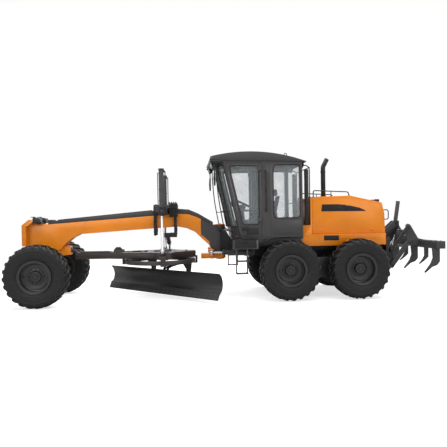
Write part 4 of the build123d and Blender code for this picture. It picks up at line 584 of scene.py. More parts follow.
# Cylinder details
for label, side in (("left", 1), ("right", -1)):
    lift = Piece(side)
    x, y = LIFT_X, LIFT_Y
    lift.lathe([(0.064, -0.002), (0.064, 0.02), (0.056, 0.03), (0.0, 0.032)], (x, y, 2.93), UP)
    for z in (2.5, 2.25):
        lift.lathe([(0.054, -0.01), (0.061, -0.01), (0.061, 0.01), (0.054, 0.01)], (x, y, z), UP, 36,
                   close=True)
    for a, b in spots_round(0.05, 6):
        lift.bolt((x + a, y + b, 1.878), (0, 0, -1), 0.008, 0.01)
    lift.tube([(x - 0.05, y, 2.9), (x - 0.085, y, 2.9), (x - 0.085, y, 2.14), (x - 0.06, y, 2.14)], 0.012,
              0.03, 10)
    lift.block((x - 0.055, y, 2.9), (0.04, 0.05, 0.05))
    lift.tube([(x + 0.05, y, 2.86), (x + 0.078, y, 2.86), (x + 0.078, y, 2.15), (x + 0.055, y, 2.15)],
              0.01, 0.03, 10)
    lift.done(f"lift_{label}_pipes", "grey", f"lift_{label}_barrel", "grey_paint")
    steer = Piece(side)
    base = Vector((HINGE_X - 0.76, 0.405, 1.05))
    tip = Vector((HINGE_X + 0.22, 0.385, 1.05))
    way = (tip - base).normalized()
    for along in (0.11, 0.66):
        steer.block(base + way * along + Vector((0, 0, 0.058)), (0.05, 0.05, 0.034))
    pipe = [(0.11, 0.07), (0.11, 0.092), (0.66, 0.092), (0.66, 0.07)]
    steer.tube([base + way * along + Vector((0, 0, rise)) for along, rise in pipe], 0.009, 0.03, 10)
    steer.done(f"articulation_{label}_pipes", "black", f"articulation_{label}_barrel", "grey_paint")

# Front axle
axle = Piece()
for x in (FRONT_X + 0.132, FRONT_X - 0.132):
    axle.cap((x, 0, 0.78), (x - FRONT_X, 0, 0), 0.075, 0.016)
for axle.side in SIDES:
    for sign in (1, -1):
        axle.cap((FRONT_X + sign * 0.088, 0.77, 0.48), (sign, 0, 0), 0.038, 0.012)
        axle.prism([(0.35, 0.79), (0.52, 0.66), (0.44, 0.66), (0.3, 0.74)],
                   FRONT_X + sign * 0.088, FRONT_X + sign * 0.097, "X", 0.003)
axle.done("front_axle_pins", "grey", "front_body", "grey_paint")

# Drawbar, circle and blade
bar = Piece()
GEAR_X = CIRCLE_X + 0.96
bar.lathe([(0.09, 0), (0.09, 0.012), (0.078, 0.016), (0.078, 0.03), (0.06, 0.034), (0.06, 0.05),
           (0.05, 0.056), (0, 0.057)],
          (GEAR_X + 0.02, 0, 1.146), UP)
for a, b in spots_round(0.083, 8, 0.2):
    bar.bolt((GEAR_X + 0.02 + a, b, 1.158), UP, 0.008, 0.01)
for bar.side in SIDES:
    bar.prism([(3.5, 1.09), (3.42, 1.115), (2.86, 1.115), (2.7, 1.09)], 0.03, 0.1, "Y", 0.006)
    for k in range(5):
        bar.bolt((LIFT_X - 0.11 + 0.055 * k, 0.68, 1.09), UP, 0.012)
for x in (CIRCLE_X + 0.7, CIRCLE_X + 0.4, CIRCLE_X - 0.35, CIRCLE_X - 0.62):
    bar.block((x, 0, 1.095), (0.06, 0.2 if x > CIRCLE_X + 0.5 else 0.46, 0.014), 0.004)
bar.done("drawbar_gearbox_and_bolts", "drawbar", "drawbar", "grey_paint")

ring = Piece()
TEETH = 96
TOOTH = [(0.694, -0.016), (0.664, -0.007), (0.664, 0.007), (0.694, 0.016)]
for k in range(TEETH):
    place = Matrix.Translation((CIRCLE_X, 0, 0)) @ Matrix.Rotation(2 * pi * k / TEETH, 4, "Z")
    bm = bmesh.new()
    skin(bm, [[bm.verts.new(place @ Vector((r, s, z))) for r, s in TOOTH] for z in (0.825, 0.893)])
    ring.take(bm)
for k in range(48):
    a = 2 * pi * (k + 0.5) / 48
    spot = Vector((CIRCLE_X + 0.826 * cos(a), 0.826 * sin(a), 0.862))
    ring.block(spot, (0.006, 0.016, 0.05), 0.002, Matrix.Rotation(a, 4, "Z"))
ring.done("circle_teeth", "grey", "circle", "grey_paint")

BLADE_U = Vector((cos(BLADE_TURN), sin(BLADE_TURN), 0))
BLADE_V = Vector((-sin(BLADE_TURN), cos(BLADE_TURN), 0))


def blade_at(u, v, z):
    return Vector((CIRCLE_X, 0, z)) + BLADE_U * u + BLADE_V * v


edge = Piece()
edge_way = BLADE_U * 0.9 + Vector((0, 0, 0.36))
for k in range(25):
    v = -1.74 + k * 0.145
    for z, u in ((0.135, 0.0795), (0.21, 0.047)):
        edge.lathe([(0.0, -0.002), (0.013, -0.002), (0.013, 0.002), (0.01, 0.004), (0.0, 0.0045)],
                   blade_at(u, v, z), edge_way, 12)
edge.done("cutting_edge_bolts", "iron", "moldboard", "black_paint")

rims = Piece()
for v in (BLADE_HALF - 0.006, -BLADE_HALF + 0.006):
    arc = [(0.025, 0.645), (-0.036, 0.58), (-0.064, 0.5), (-0.071, 0.43), (-0.064, 0.36), (-0.036, 0.28),
           (0.03, 0.218)]
    rims.tube([blade_at(u - 0.011, v, z) for u, z in arc], 0.013, 0.05, 8)
rims.tube([blade_at(0.019, v, 0.648) for v in (-1.81, 1.81)], 0.012, 0.02, 10)
for v in (-1.5, -0.9, -0.3, 0.3, 0.9, 1.5):
    rims.block(blade_at(-0.105, v, 0.425), (0.03, 0.02, 0.3), 0.004, Matrix.Rotation(BLADE_TURN, 4, "Z"))
rims.done("blade_edge_beads", "blade", "moldboard", "black_paint")

holder = Piece()
for v in (0.43, 0.37, -0.37, -0.43):
    for z in (0.36, 0.49):
        holder.bolt(blade_at(-0.205, v, z), -BLADE_U, 0.012)
for end in (1, -1):
    holder.cap(blade_at(-0.19, end * 0.626, 0.222), BLADE_V * end, 0.05, 0.014)
holder.done("blade_pivot_caps", "steel", "blade_carrier", "bare_steel")

# Hitch
hitch = Piece()
hitch.cap((HINGE_X, 0, 1.69), UP, 0.1, 0.02)
hitch.cap((HINGE_X, 0, 0.895), (0, 0, -1), 0.1, 0.02)
for a, b in spots_round(0.118, 8):
    hitch.bolt((HINGE_X + a, b, 1.69), UP, 0.011)
for hitch.side in SIDES:
    hitch.cap((HINGE_X + 0.22, 0.385, 1.124), UP, 0.034, 0.012)
hitch.done("hitch_pin_caps", "orange", "front_body", "orange_paint")
cheeks = Piece()
for cheeks.side in SIDES:
    # Lock bar on its clips, and the seams of the hitch's side plate
    cheeks.tube([(0.36, 0.214, 1.33), (0.62, 0.178, 1.62)], 0.012, 0.02, 10)
    cheeks.tube([(0.645, BEAM_HALF, 1.45), (0.645, BEAM_HALF, 1.93)], 0.004, 0.02, 8)
    cheeks.tube([(0.44, 0.211, 1.2), (0.44, 0.211, 1.8)], 0.005, 0.02, 8)
    outline = [(0.37, 1.02), (0.235, 1.03), (0.2, 1.08), (0.2, 1.5), (0.24, 1.57), (0.36, 1.7),
               (0.44, 1.79), (0.46, 1.24)]
    cheeks.prism(outline, 0.205, 0.217)
    cheeks.tube([(0.226, 0.219, 1.08), (0.226, 0.219, 1.5), (0.27, 0.219, 1.57)], 0.006, 0.03, 8)
    for x, z in ((0.39, 1.08), (0.4, 1.3), (0.4, 1.52), (0.41, 1.7)):
        cheeks.bolt((x, 0.217, z), LEFT, 0.012, 0.01)
cheeks.done("hitch_side_panels", "grey", "front_body", "grey_paint")

# Rear frame, tandems and axle
drive = Piece()
for drive.side in SIDES:
    for x in (MID_X, REAR_X):
        drive.lathe([(0.15, 0), (0.15, 0.012), (0.14, 0.018), (0.1, 0.018), (0.1, 0)],
                    (x, 0.808, WHEEL_R), LEFT)
        for a, b in spots_round(0.125, 10):
            drive.bolt((x + a, 0.826, WHEEL_R + b), LEFT, 0.011)
    mid = (MID_X + REAR_X) / 2
    for k in range(9):
        for rise in (0.2, -0.17):
            drive.bolt((mid - 0.36 + 0.09 * k, 0.75, WHEEL_R + rise), LEFT, 0.012, 0.01)
    drive.slab((mid - 0.4, mid + 0.4), (WHEEL_R - 0.15, WHEEL_R + 0.175), 0.749, 0.758)
    drive.lathe([(0.04, 0), (0.04, 0.02), (0.03, 0.026), (0, 0.026)], (mid, 0.757, WHEEL_R), LEFT, 24)
drive.done("tandem_covers", "black", "rear_body", "black_paint")

mast = Piece()
MAST_X, MAST_Z = -4.17, 1.66
RIP_X = -3.905
for mast.side in SIDES:
    mast.cap((MAST_X, 0.087, MAST_Z), LEFT, 0.04, 0.014)
    for z in (0.64, 1.013):
        mast.cap((RIP_X, 0.385, z), LEFT, 0.05, 0.014)
    for z in (0.7, 0.86, 1.02, 1.18):
        mast.bolt((-3.767, 0.46, z), (-1, 0, 0))
    # Guards of the tail lamps
    mast.slab((-3.82, -3.765), (1.2, 1.34), 0.36, 0.47, 0.008)
mast.done("ripper_mount_pins", "black", "rear_body", "black_paint")
tail = Piece()
for tail.side in SIDES:
    tail.block((-3.822, 0.415, 1.27), (0.012, 0.09, 0.11), 0.004)
tail.done("tail_lamps", "red_lens", "rear_body", "window_glass")

ripper = Piece()
BEAM_TOP, BEAM_LOW = 1.245, 1.075
for ripper.side in SIDES:
    for y in (0.12, 0.76, 1.0):
        for x in (0.06, 0.16):
            ripper.bolt((TAIL_X + x, y, BEAM_TOP), UP)
    ripper.slab((TAIL_X + 0.01, TAIL_X + 0.212), (BEAM_LOW, BEAM_TOP), 1.079, 1.092, 0.005)
    for z in (1.211, 1.584):
        ripper.cap((-4.341, 0.292, z), (0, -1, 0), 0.046, 0.012)
ripper.done("ripper_beam_caps", "grey", "ripper_beam", "grey_paint")


# Cab
def screen_x(z):
    return CAB_FRONT + CAB_LEAN * (z - CAB_FLOOR)


def post_x(z):
    return CAB_CORNER + CAB_LEAN * (z - CAB_FLOOR)


def corner(share, z):
    """A point on the angled pane beside the windscreen, from its front edge to its rear edge."""
    return (screen_x(z) + (CAB_CORNER - CAB_FRONT) * share, 0.42 + (CAB_HALF - 0.42) * share, z)


WINDOW_LOW, WINDOW_HIGH = 1.69, 3.03
REAR_LOW = 1.83
gasket = Piece()
low, high = WINDOW_LOW - 0.04, WINDOW_HIGH
half = 0.42 - 0.029
pane = [(half, low), (half, high), (-half, high), (-half, low)]
gasket.tube([(screen_x(z), y, z) for y, z in pane], 0.011, 0.06, 8, close=True)
for gasket.side in SIDES:
    angled = [corner(0.08, low), corner(0.92, low), corner(0.92, high), corner(0.08, high)]
    gasket.tube(angled, 0.011, 0.05, 8, close=True)
    x_rear, x_front = CAB_REAR + 0.058, DOOR_REAR - 0.27
    pane = [(x_rear, REAR_LOW), (x_rear, high), (x_front, high), (x_front, REAR_LOW)]
    gasket.tube([(x, CAB_HALF, z) for x, z in pane], 0.011, 0.1, 8, close=True)
pane = [(0.684, REAR_LOW), (0.684, high), (-0.684, high), (-0.684, REAR_LOW)]
gasket.tube([(CAB_REAR, y, z) for y, z in pane], 0.011, 0.08, 8, close=True)
gasket.done("window_gaskets", "rubber", "rear_body", "dark_plastic")

for label, side in (("left", 1), ("right", -1)):
    seal = Piece(side)
    bar_width = 0.058
    top, foot = 3.072 - bar_width, WINDOW_LOW
    x_rear = DOOR_REAR + bar_width
    pane = [(x_rear, foot), (x_rear, top), (post_x(top) - 2 * bar_width, top),
            (post_x(foot) - 2 * bar_width, foot)]
    seal.tube([(x, CAB_HALF, z) for x, z in pane], 0.01, 0.06, 8, close=True)
    seal.done(f"door_{label}_gasket", "rubber", f"door_{label}", "dark_plastic")
    handle = Piece(side)
    x = post_x(1.66) - 0.16
    handle.block((x, 0.806, 1.6), (0.16, 0.012, 0.09), 0.005)
    handle.staple((x - 0.055, x + 0.055), 0.81, 0.845, 1.6, 0.01, 0.02, 10)
    handle.lathe([(0.016, 0), (0.016, 0.008), (0.008, 0.012), (0, 0.012)], (x + 0.05, 0.812, 1.572), LEFT,
                 18)
    # Pull bar across the glass, inside
    handle.staple((DOOR_REAR + 0.09, post_x(2.02) - 0.15), 0.745, 0.715, 2.02, 0.012, 0.04, 10)
    outline = [(DOOR_REAR + 0.07, 1.46), (post_x(1.46) - 0.14, 1.46), (post_x(1.62) - 0.15, 1.62),
               (DOOR_REAR + 0.07, 1.62)]
    handle.prism(outline, 0.797, 0.804, "Y", 0.003)
    handle.done(f"door_{label}_handle", "plastic", f"door_{label}", "dark_plastic")

roof = Piece()
for roof.side in SIDES:
    # Gutter rail and the visor's cheeks
    roof.tube([(-1.66, 0.806, 3.098), (-1.0, 0.806, 3.118), (0.1, 0.806, 3.13), (0.42, 0.806, 3.16)],
              0.011, 0.1, 8)
    roof.prism([(0.12, 3.1), (0.43, 3.14), (0.455, 3.1), (0.4, 3.06), (0.2, 3.07)], 0.77, 0.8, "Y", 0.006)
    # Lifting eyes
    for x, z in ((-0.62, 3.3), (-1.3, 3.265), (-0.2, 3.285)):
        roof.tube([(x - 0.035, 0.6, z), (x - 0.02, 0.6, z + 0.045), (x + 0.02, 0.6, z + 0.045),
                   (x + 0.035, 0.6, z)], 0.009, 0.03, 10)
roof.tube([(-0.62, 0.0, 3.31), (-0.62, 0.0, 3.325)], 0.03, 0.0, 20)
for x in (-0.9, -0.3):
    roof.prism([(-0.55, 3.3), (0.55, 3.3), (0.5, 3.318), (-0.5, 3.318)], x - 0.05, x + 0.05, "X", 0.004)
roof.block((0.3, 0, 3.09), (0.2, 1.45, 0.03), 0.01)
roof.done("roof_trim", "black", "rear_body", "black_paint")

work = Piece()
work_lens = Piece()


def work_lamp(x, y, forward, depth):
    centre = Vector((x, y, 3.03))
    aim = Vector((forward, 0, -0.35)).normalized()
    cup = [(0.03, -depth), (0.05, 0.02 - depth), (0.06, -0.01), (0.062, 0.02), (0.055, 0.024), (0, 0.016)]
    work.lathe(cup, centre, aim, 28)
    work_lens.lathe([(0.052, 0.02), (0.04, 0.029), (0, 0.032)], centre, aim, 28)


for y in (0.68, 0.42, -0.42, -0.68):
    work_lamp(0.385, y, 1, 0.07)
    work.block((0.35, y, 3.08), (0.03, 0.05, 0.05), 0.005)
for y in (0.55, -0.55):
    work_lamp(-1.7, y, -1, 0.06)
    work.block((-1.67, y, 3.085), (0.03, 0.05, 0.06), 0.005)
work.done("work_lamp_housings", "plastic", "rear_body", "dark_plastic")
work_lens.done("work_lamp_lenses", "lens", "rear_body", "window_glass")

mirrors = Piece()
mirror_glass = Piece()
for mirrors.side in SIDES:
    mirror_glass.side = mirrors.side
    arm_y = 0.86
    mirrors.tube([(0.33, 0.78, 3.06), (0.36, arm_y, 3.02), (0.36, arm_y, 2.62)], 0.013, 0.06, 10)
    mirrors.prism([(0.345, 2.56), (0.345, 2.9), (0.375, 2.9), (0.385, 2.73), (0.375, 2.56)], 0.83, 1.03,
                  "Y", 0.012)
    mirror_glass.block((0.3435, 0.93, 2.73), (0.004, 0.17, 0.3), 0.001)
    # Long grab bar from the visor down to the cab's foot
    mirrors.tube([(0.31, 0.7, 3.06), (0.315, 0.72, 2.9), (0.27, 0.74, 2.3), (0.15, 0.72, 1.62),
                  (-0.06, 0.66, 1.52)], 0.0125, 0.3, 10)
    for z in (2.86, 2.0):
        x = screen_x(z) - 0.06
        mirrors.tube([(x, 0.6, z), (0.312 if z > 2.5 else 0.205, 0.73, z)], 0.009, 0.02, 8)
mirrors.done("mirrors_and_grab_bars", "black", "rear_body", "black_paint")
mirror_glass.done("mirror_panes", "mirror", "rear_body", "window_glass")

wipers = Piece()
for y in (0.26, -0.26):
    z = 1.66
    base = Vector((screen_x(z) + 0.03, y, z))
    up = Vector((CAB_LEAN, 0, 1)).normalized()
    wipers.lathe([(0.024, -0.03), (0.024, 0.0), (0.016, 0.012), (0, 0.014)], base, (1, 0, -CAB_LEAN), 20)
    tip = base + up * 0.52 - Vector((0, y * 0.75, 0))
    wipers.tube([base, base + up * 0.1 - Vector((0, y * 0.1, 0)), tip], 0.008, 0.05, 8)
    wipers.tube([tip - up * 0.26 + Vector((0, 0.02, 0)), tip + up * 0.26 - Vector((0, 0.02, 0))], 0.007,
                0.02, 8)
wipers.done("wipers", "rubber", "rear_body", "dark_plastic")

body = Piece()
for body.side in SIDES:
    # Fender strip over the middle wheels, step treads, tool box lid and the front corner's cover
    body.prism([(-1.58, 1.22), (-0.72, 1.22), (-0.74, 1.37), (-1.58, 1.37)], 0.78, 0.793, "Y", 0.006)
    body.tube([(-0.6, 0.8, 1.16), (-0.72, 0.8, 1.3), (-1.0, 0.8, 1.395), (-1.6, 0.8, 1.395)],
              0.014, 0.12, 10)
    for z in (0.634, 0.904):
        for k in range(6):
            body.block((-0.31 + k * 0.046, 1.015, z + 0.002), (0.012, 0.13, 0.01), 0.003)
    for k in range(5):
        body.block((-0.3, 0.92 + k * 0.03, 1.352), (0.5, 0.012, 0.008), 0.003)
    body.slab((-0.54, -0.06), (1.17, 1.33), 0.999, 1.008)
    body.staple((-0.36, -0.24), 1.006, 1.03, 1.29, 0.008, 0.015, 8)
    for x in (-0.5, -0.1):
        for z in (1.2, 1.31):
            body.bolt((x, 1.007, z), LEFT, 0.01, 0.008)
    # Grab bar on the post behind the door
    body.tube([(-0.8, 0.8, 2.0), (-0.8, 0.855, 2.0), (-0.8, 0.855, 2.88), (-0.8, 0.8, 2.88)],
              0.014, 0.04, 12)
    for z in (2.0, 2.44, 2.88):
        body.block((-0.8, 0.806, z), (0.04, 0.016, 0.06), 0.005)
    # Cab mounts
    for x in (-0.35, -1.45):
        body.lathe([(0.05, 0), (0.05, 0.02), (0.04, 0.03), (0.04, 0.05), (0.05, 0.055), (0, 0.056)],
                   (x, 0.62, 1.15), UP, 24)
body.done("step_box_and_fenders", "black", "rear_body", "black_paint")

panel = Piece()
for panel.side in SIDES:
    # Pressed edges on the cab's lower rear panel
    panel.slab((-1.6, -0.96), (1.46, 1.77), CAB_HALF - 0.004, CAB_HALF + 0.006, 0.005)
    panel.tube([(-1.63, 0.802, 1.41), (-0.72, 0.802, 1.41)], 0.007, 0.02, 8)
    panel.tube([(DOOR_REAR - 0.2, 0.803, 1.44), (DOOR_REAR - 0.2, 0.803, 3.06)], 0.006, 0.02, 8)
    for x in (-1.56, -1.0):
        for z in (1.5, 1.73):
            panel.bolt((x, CAB_HALF + 0.006, z), LEFT, 0.008, 0.006)
panel.done("cab_panel_edges", "cabgrey", "rear_body", "grey_paint")


# Cab interior
def cushion(name, at, size, crown, tilt=0.0, bolster=0.035):
    """A stuffed pad: crowned, drawn in at its edges, with side bolsters and two sewn channels."""
    across, along = 24, 24
    bm = bmesh.new()
    width, depth, thick = size
    place = Matrix.Translation(at) @ Matrix.Rotation(tilt, 4, "Y")
    grids = []
    for face in (1, -1):
        grid = []
        for i in range(across + 1):
            row = []
            for j in range(along + 1):
                u, v = 2 * i / across - 1, 2 * j / along - 1
                edge_fall = (1 - u ** 8) ** 0.5 * (1 - v ** 8) ** 0.5
                height = thick / 2 * edge_fall
                if face > 0:
                    height += crown * (1 - u * u) * (1 - v * v)
                    height += bolster * max(0, abs(v) - 0.62) * 2.2 * edge_fall
                    for seam in (-0.3, 0.3):
                        height -= 0.009 * max(0, 1 - abs(u - seam) * 16) * edge_fall
                    height -= 0.01 * max(0, 1 - abs(abs(v) - 0.6) * 14) * edge_fall
                pinch = 1 - 0.03 * (1 - abs(u)) * abs(v) ** 6
                point = Vector((u * depth / 2, v * width / 2 * pinch, face * height))
                row.append(bm.verts.new(place @ point))
            grid.append(row)
        grids.append(grid)
    for face, grid in zip((1, -1), grids):
        for i in range(across):
            for j in range(along):
                quad = (grid[i][j], grid[i + 1][j], grid[i + 1][j + 1], grid[i][j + 1])
                bm.faces.new(quad if face > 0 else quad[::-1])
    bmesh.ops.remove_doubles(bm, verts=bm.verts, dist=0.0005)
    piece = Piece()
    piece.take(bm)
    obj = piece.done(name, "fabric", "rear_body", "seat_fabric", 1.2)
    return obj


SEAT_X = -0.85
base = Piece()
base.prism([(SEAT_X - 0.16, 1.4203), (SEAT_X + 0.14, 1.4203), (SEAT_X + 0.12, 1.5), (SEAT_X - 0.14, 1.5)],
           -0.19, 0.19, "Y", 0.01)
for k in range(5):
    z = 1.5 + k * 0.034
    base.block((SEAT_X - 0.01, 0, z + 0.017), (0.26 - 0.012 * (k % 2), 0.34 - 0.02 * (k % 2), 0.03), 0.008)
base.block((SEAT_X - 0.01, 0, 1.685), (0.38, 0.42, 0.03), 0.008)
base.prism([(SEAT_X - 0.36, 2.36), (SEAT_X - 0.2, 1.7), (SEAT_X - 0.25, 1.69), (SEAT_X - 0.39, 2.34)],
           -0.2, 0.2, "Y", 0.012)
for base.side in SIDES:
    base.tube([(SEAT_X - 0.24, 0.24, 1.9), (SEAT_X - 0.24, 0.29, 1.94), (SEAT_X + 0.1, 0.29, 1.94)],
              0.014, 0.04, 10)
    base.block((SEAT_X + 0.16, 0.3, 1.94), (0.24, 0.09, 0.06), 0.015)
base.done("seat_base", "plastic", "rear_body", "dark_plastic")
squab = cushion("seat_cushion", (SEAT_X + 0.02, 0, 1.748), (0.48, 0.46, 0.09), 0.012)
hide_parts("seat")
cushion("seat_backrest", (SEAT_X - 0.235, 0, 2.06), (0.46, 0.56, 0.09), 0.012, radians(-78))
cushion("seat_headrest", (SEAT_X - 0.31, 0, 2.44), (0.27, 0.16, 0.08), 0.006, radians(-80), 0.0)

inside = Piece()
for inside.side in SIDES:
    inside.block((-0.45, 0.33, 1.62), (0.5, 0.2, 0.36), 0.03)
    for k in range(3):
        x = -0.34 + 0.05 * k
        inside.tube([(x, (0.28 + 0.035 * k), 1.79), (x + 0.02, (0.28 + 0.035 * k), 1.92)], 0.007, 0.02, 8)
        inside.lathe([(0.0, 0), (0.014, 0.006), (0.017, 0.02), (0.012, 0.034), (0, 0.036)],
                     (x + 0.02, (0.28 + 0.035 * k), 1.915), UP, 16)
for y in (-0.16, 0.0, 0.16):
    inside.block((-0.12, y, 1.48), (0.03, 0.08, 0.14), 0.008, Matrix.Rotation(radians(-35), 4, "Y"))
inside.block((-0.2, -0.45, 2.2), (0.05, 0.2, 0.14), 0.015, Matrix.Rotation(0.5, 4, "Z"))
inside.block((-0.9, 0, 3.045), (1.2, 1.4, 0.03), 0.012)
inside.block((-0.1, 0, 2.99), (0.3, 1.0, 0.06), 0.015)
inside.done("cab_controls", "plastic", "rear_body", "dark_plastic")
lining = Piece()
lining.block((-1.54, 0, 1.62), (0.04, 1.3, 0.36), 0.01)
for lining.side in SIDES:
    lining.block((-1.2, 0.71, 1.62), (0.6, 0.03, 0.36), 0.01)
    lining.block((-0.87, 0.715, 2.3), (0.16, 0.03, 1.4), 0.01)
lining.block((-0.85, 0, 1.4275), (1.45, 1.4, 0.01), 0.003)
lining.done("cab_lining_panels", "trim", "rear_body", "dark_plastic")


# Hood and engine body
def hood_top(x):
    """Height of the hood's top at a place along it."""
    points = [(-1.89, 2.3), (-2.79, 2.32), (-3.54, 2.15), (-3.6, 1.9)]
    for (xa, za), (xb, zb) in zip(points, points[1:]):
        if xb <= x <= xa:
            return za + (zb - za) * (xa - x) / (xa - xb)
    return points[-1][1]


grille = Piece()
vents = Piece()
for grille.side in SIDES:
    vents.side = grille.side
    y = HOOD_HALF
    top = [(-2.12, 2.125), (-2.5, 2.125), (-2.8, 2.085), (-3.0, 2.04), (-3.145, 1.975)]
    outline = [(-2.1, 1.965), *top, (-3.145, 1.96)]
    grille.prism(outline, y - 0.002, y + 0.005, "Y", 0.002)
    for k in range(9):
        z = 1.978 + k * 0.0165
        end = -3.12
        for (xa, za), (xb, zb) in zip(top, top[1:]):
            if zb <= z <= za and za > zb:
                end = xa + (xb - xa) * (za - z) / (za - zb)
        end = max(end, -3.12)
        for xa, xb in ((-2.125, -2.665), (-2.695, end + 0.015)):
            if xa - xb > 0.04:
                grille.block(((xa + xb) / 2, y + 0.008, z), (xa - xb, 0.012, 0.006), 0.002)
    grille.block((-2.68, y + 0.007, 2.03), (0.018, 0.014, 0.14), 0.003)
    yb = BODY_HALF
    vents.slab((-2.48, -2.13), (1.3, 1.41), yb - 0.002, yb + 0.005, 0.003)
    for k in range(5):
        vents.block((-2.305, yb + 0.008, 1.315 + k * 0.02), (0.33, 0.01, 0.007), 0.002)
grille.prism([(-0.52, 1.5), (0.52, 1.5), (0.52, 1.87), (-0.52, 1.87)], -3.607, -3.6195, "X", 0.002)
for k in range(20):
    z = 1.52 + k * 0.0175
    grille.block((-3.6225 + (z - 1.44) * 0.02, 0, z), (0.014, 1.0, 0.008), 0.002)
grille.done("hood_grilles", "black", "hood", "black_paint")
vents.done("side_panel_vents", "black", "rear_body", "black_paint")

lines = Piece()
for lines.side in SIDES:
    y = (HOOD_HALF + 0.0005)
    lines.tube([(-1.9, y, 1.47), (-3.59, y, 1.47)], 0.005, 0.02, 8)
    lines.tube([(-1.93, y, 1.5), (-1.93, y, 2.26), (-2.79, y, 2.29), (-3.5, y, 2.13), (-3.56, y, 1.9),
                (-3.575, y, 1.5)],
               0.0045, 0.06, 8)
    for x in (-2.1, -3.3):
        lines.block((x, y, 1.53), (0.09, 0.012, 0.05), 0.005)
        lines.staple((x - 0.03, x + 0.03), y + 0.004, y + 0.022, 1.53, 0.006, 0.012, 8)
lines.done("hood_panel_lines", "orange", "hood", "orange_paint")

rails = Piece()
for rails.side in SIDES:
    y = 0.6
    rails.tube([(-1.94, y, 2.29), (-1.94, y, 2.45), (-2.77, y, 2.41), (-2.79, y, 2.31)], 0.0125, 0.05, 12)
    rails.tube([(-2.36, y, 2.31), (-2.36, y, 2.43)], 0.01, 0.02, 10)
    for x in (-1.94, -2.36, -2.79):
        rails.lathe([(0.03, -0.004), (0.03, 0.006), (0.014, 0.012), (0, 0.012)], (x, y, hood_top(x)), UP,
                    20)
rails.lathe([(0.05, 0), (0.05, 0.045), (0.042, 0.055), (0.0, 0.056)],
            (-3.42, 0.4, hood_top(-3.42) - 0.004), UP, 32)
rails.block((-3.44, 0.62, 2.2), (0.11, 0.06, 0.06), 0.012)
rails.block((-3.44, -0.62, 2.2), (0.11, 0.06, 0.06), 0.012)
for rails.side in SIDES:
    y = 0.55
    rails.tube([(-3.6, y, 1.76), (-3.75, y, 1.76), (-3.75, y, 1.98), (-3.575, y, 1.98)], 0.012, 0.05, 12)
rails.done("hood_rails", "black", "hood", "black_paint")

deck = Piece()
for deck.side in SIDES:
    y = 0.62
    deck.tube([(-1.62, y, 2.99), (-1.76, y, 3.04), (-1.85, y, 2.98), (-1.85, y, 2.33), (-1.85, y, 1.66)],
              0.0125, 0.08, 12)
    deck.tube([(-1.64, y, 2.2), (-1.85, y, 2.2)], 0.01, 0.02, 10)
    for k in range(9):
        deck.block((-1.78, 0.6, 1.76 + k * 0.14), (0.094, 0.05, 0.05), 0.008)
deck.tube([(-1.85, 0.62, 2.98), (-1.85, -0.62, 2.98)], 0.0125, 0.02, 12)
for k in range(6):
    deck.block((-1.74, 0, 1.654), (0.12 - 0.02 * k, 1.1, 0.006 + 0.001 * k), 0.002)
deck.done("cab_rear_rails", "black", "rear_body", "black_paint")

sides = Piece()
for sides.side in SIDES:
    yb = (BODY_HALF + 0.0005)
    sides.tube([(-1.665, yb, 1.2), (-1.665, yb, 1.42), (-3.58, yb, 1.42), (-3.58, yb, 1.2)], 0.005, 0.04, 8)
    sides.tube([(-2.02, yb, 1.19), (-2.02, yb, 1.42)], 0.004, 0.02, 8)
    sides.tube([(-2.58, yb, 1.19), (-2.58, yb, 1.42)], 0.004, 0.02, 8)
    for x in (-1.72, -1.97, -2.07, -2.53):
        for z in (1.22, 1.4):
            sides.bolt((x, yb, z), LEFT, 0.009, 0.007)
    # Flare round the rear wheel's arch
    sides.tube([(-2.56, yb, 1.19), (-2.71, yb, 1.306), (-3.17, yb, 1.306), (-3.43, yb, 1.19)], 0.014, 0.06,
               10)
sides.done("side_panel_edges", "orange", "rear_body", "orange_paint")

stack = Piece()
STACK_X = -2.36
stack.lathe([(0.085, 0), (0.085, 0.012), (0.07, 0.02), (0.07, 0.05), (0.057, 0.05), (0.057, 0)],
            (STACK_X, 0, 2.31), UP, 40, close=True)
for z in (2.46, 2.92):
    stack.lathe([(0.055, 0), (0.062, 0.002), (0.062, 0.026), (0.055, 0.028)], (STACK_X, 0, z), UP, 40,
                close=True)
    stack.bolt((STACK_X + 0.066, 0.012, z + 0.014), (0, 1, 0), 0.008, 0.02)
stack.done("exhaust_clamps", "black", "rear_body", "black_paint")

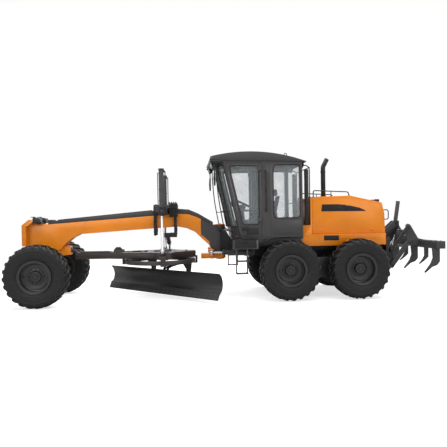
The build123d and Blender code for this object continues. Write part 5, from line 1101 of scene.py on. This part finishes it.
# Floor, light and camera
FLOOR_REACH = 60
corners = [(-1, -1), (1, -1), (1, 1), (-1, 1)]
floor_mesh = bpy.data.meshes.new("floor")
floor_mesh.from_pydata([(FLOOR_REACH * x, FLOOR_REACH * y, 0) for x, y in corners], [], [(0, 1, 2, 3)])
floor = bpy.data.objects.new("floor", floor_mesh)
bpy.context.scene.collection.objects.link(floor)
mat, net = new_material("floor")
net.feed("Base Color", net.mix(net.noise(0.6), (0.8, 0.8, 0.8), (0.83, 0.83, 0.83)))
net.feed("Roughness", 0.9)
path = net.nodes.new("ShaderNodeLightPath")
net.shader.inputs["Emission Color"].default_value = (1, 1, 1, 1)
net.feed("Emission Strength", net.math("MULTIPLY", path.outputs["Is Camera Ray"], 0.62))
floor_mesh.materials.append(mat)

world = bpy.data.worlds.new("studio")
bpy.context.scene.world = world
world.use_nodes = True
net = Net(world.node_tree)
net.nodes.clear()
path = net.nodes.new("ShaderNodeLightPath")
seen = net.math("MAXIMUM", path.outputs["Is Camera Ray"], path.outputs["Is Glossy Ray"])
seen = net.math("MAXIMUM", seen, path.outputs["Is Transmission Ray"])
background = net.nodes.new("ShaderNodeBackground")
background.inputs["Color"].default_value = (1, 1, 1, 1)
net.links.new(net.span(seen, 0, 1, 0.42, 1.0), background.inputs["Strength"])
output = net.nodes.new("ShaderNodeOutputWorld")
net.links.new(background.outputs[0], output.inputs["Surface"])


def area_light(name, at, target, size, power):
    light = bpy.data.lights.new(name, "AREA")
    light.shape = "RECTANGLE"
    light.size, light.size_y = size
    light.energy = power
    obj = bpy.data.objects.new(name, light)
    obj.location = at
    obj.rotation_euler = (Vector(target) - Vector(at)).to_track_quat("-Z", "Y").to_euler()
    bpy.context.scene.collection.objects.link(obj)


area_light("overhead", (0, 1, 9), (0, 0, 0), (14, 8), 950)
area_light("near_left", (7, 9, 5), UP, (6, 4), 260)
area_light("near_right", (-7, 9, 5), UP, (6, 4), 180)
area_light("far_side", (0, -9, 6), UP, (10, 4), 260)

camera_data = bpy.data.cameras.new("camera")
camera_data.lens = 37.22
camera_data.sensor_width = 36
camera = bpy.data.objects.new("camera", camera_data)
YAW, PITCH, ROLL = -0.082, -0.009, -0.016
ahead = Vector((sin(YAW) * cos(PITCH), -cos(YAW) * cos(PITCH), sin(PITCH)))
right = Vector((-cos(YAW), -sin(YAW), 0))
up = right.cross(ahead)
right, up = right * cos(ROLL) + up * sin(ROLL), up * cos(ROLL) - right * sin(ROLL)
camera.matrix_world = Matrix.Translation((1.012, 11.08, 1.817)) @ Matrix((right, up,
                                                                          -ahead)).transposed().to_4x4()
bpy.context.scene.collection.objects.link(camera)
bpy.context.scene.camera = camera
bpy.context.scene.view_settings.view_transform = "Standard"
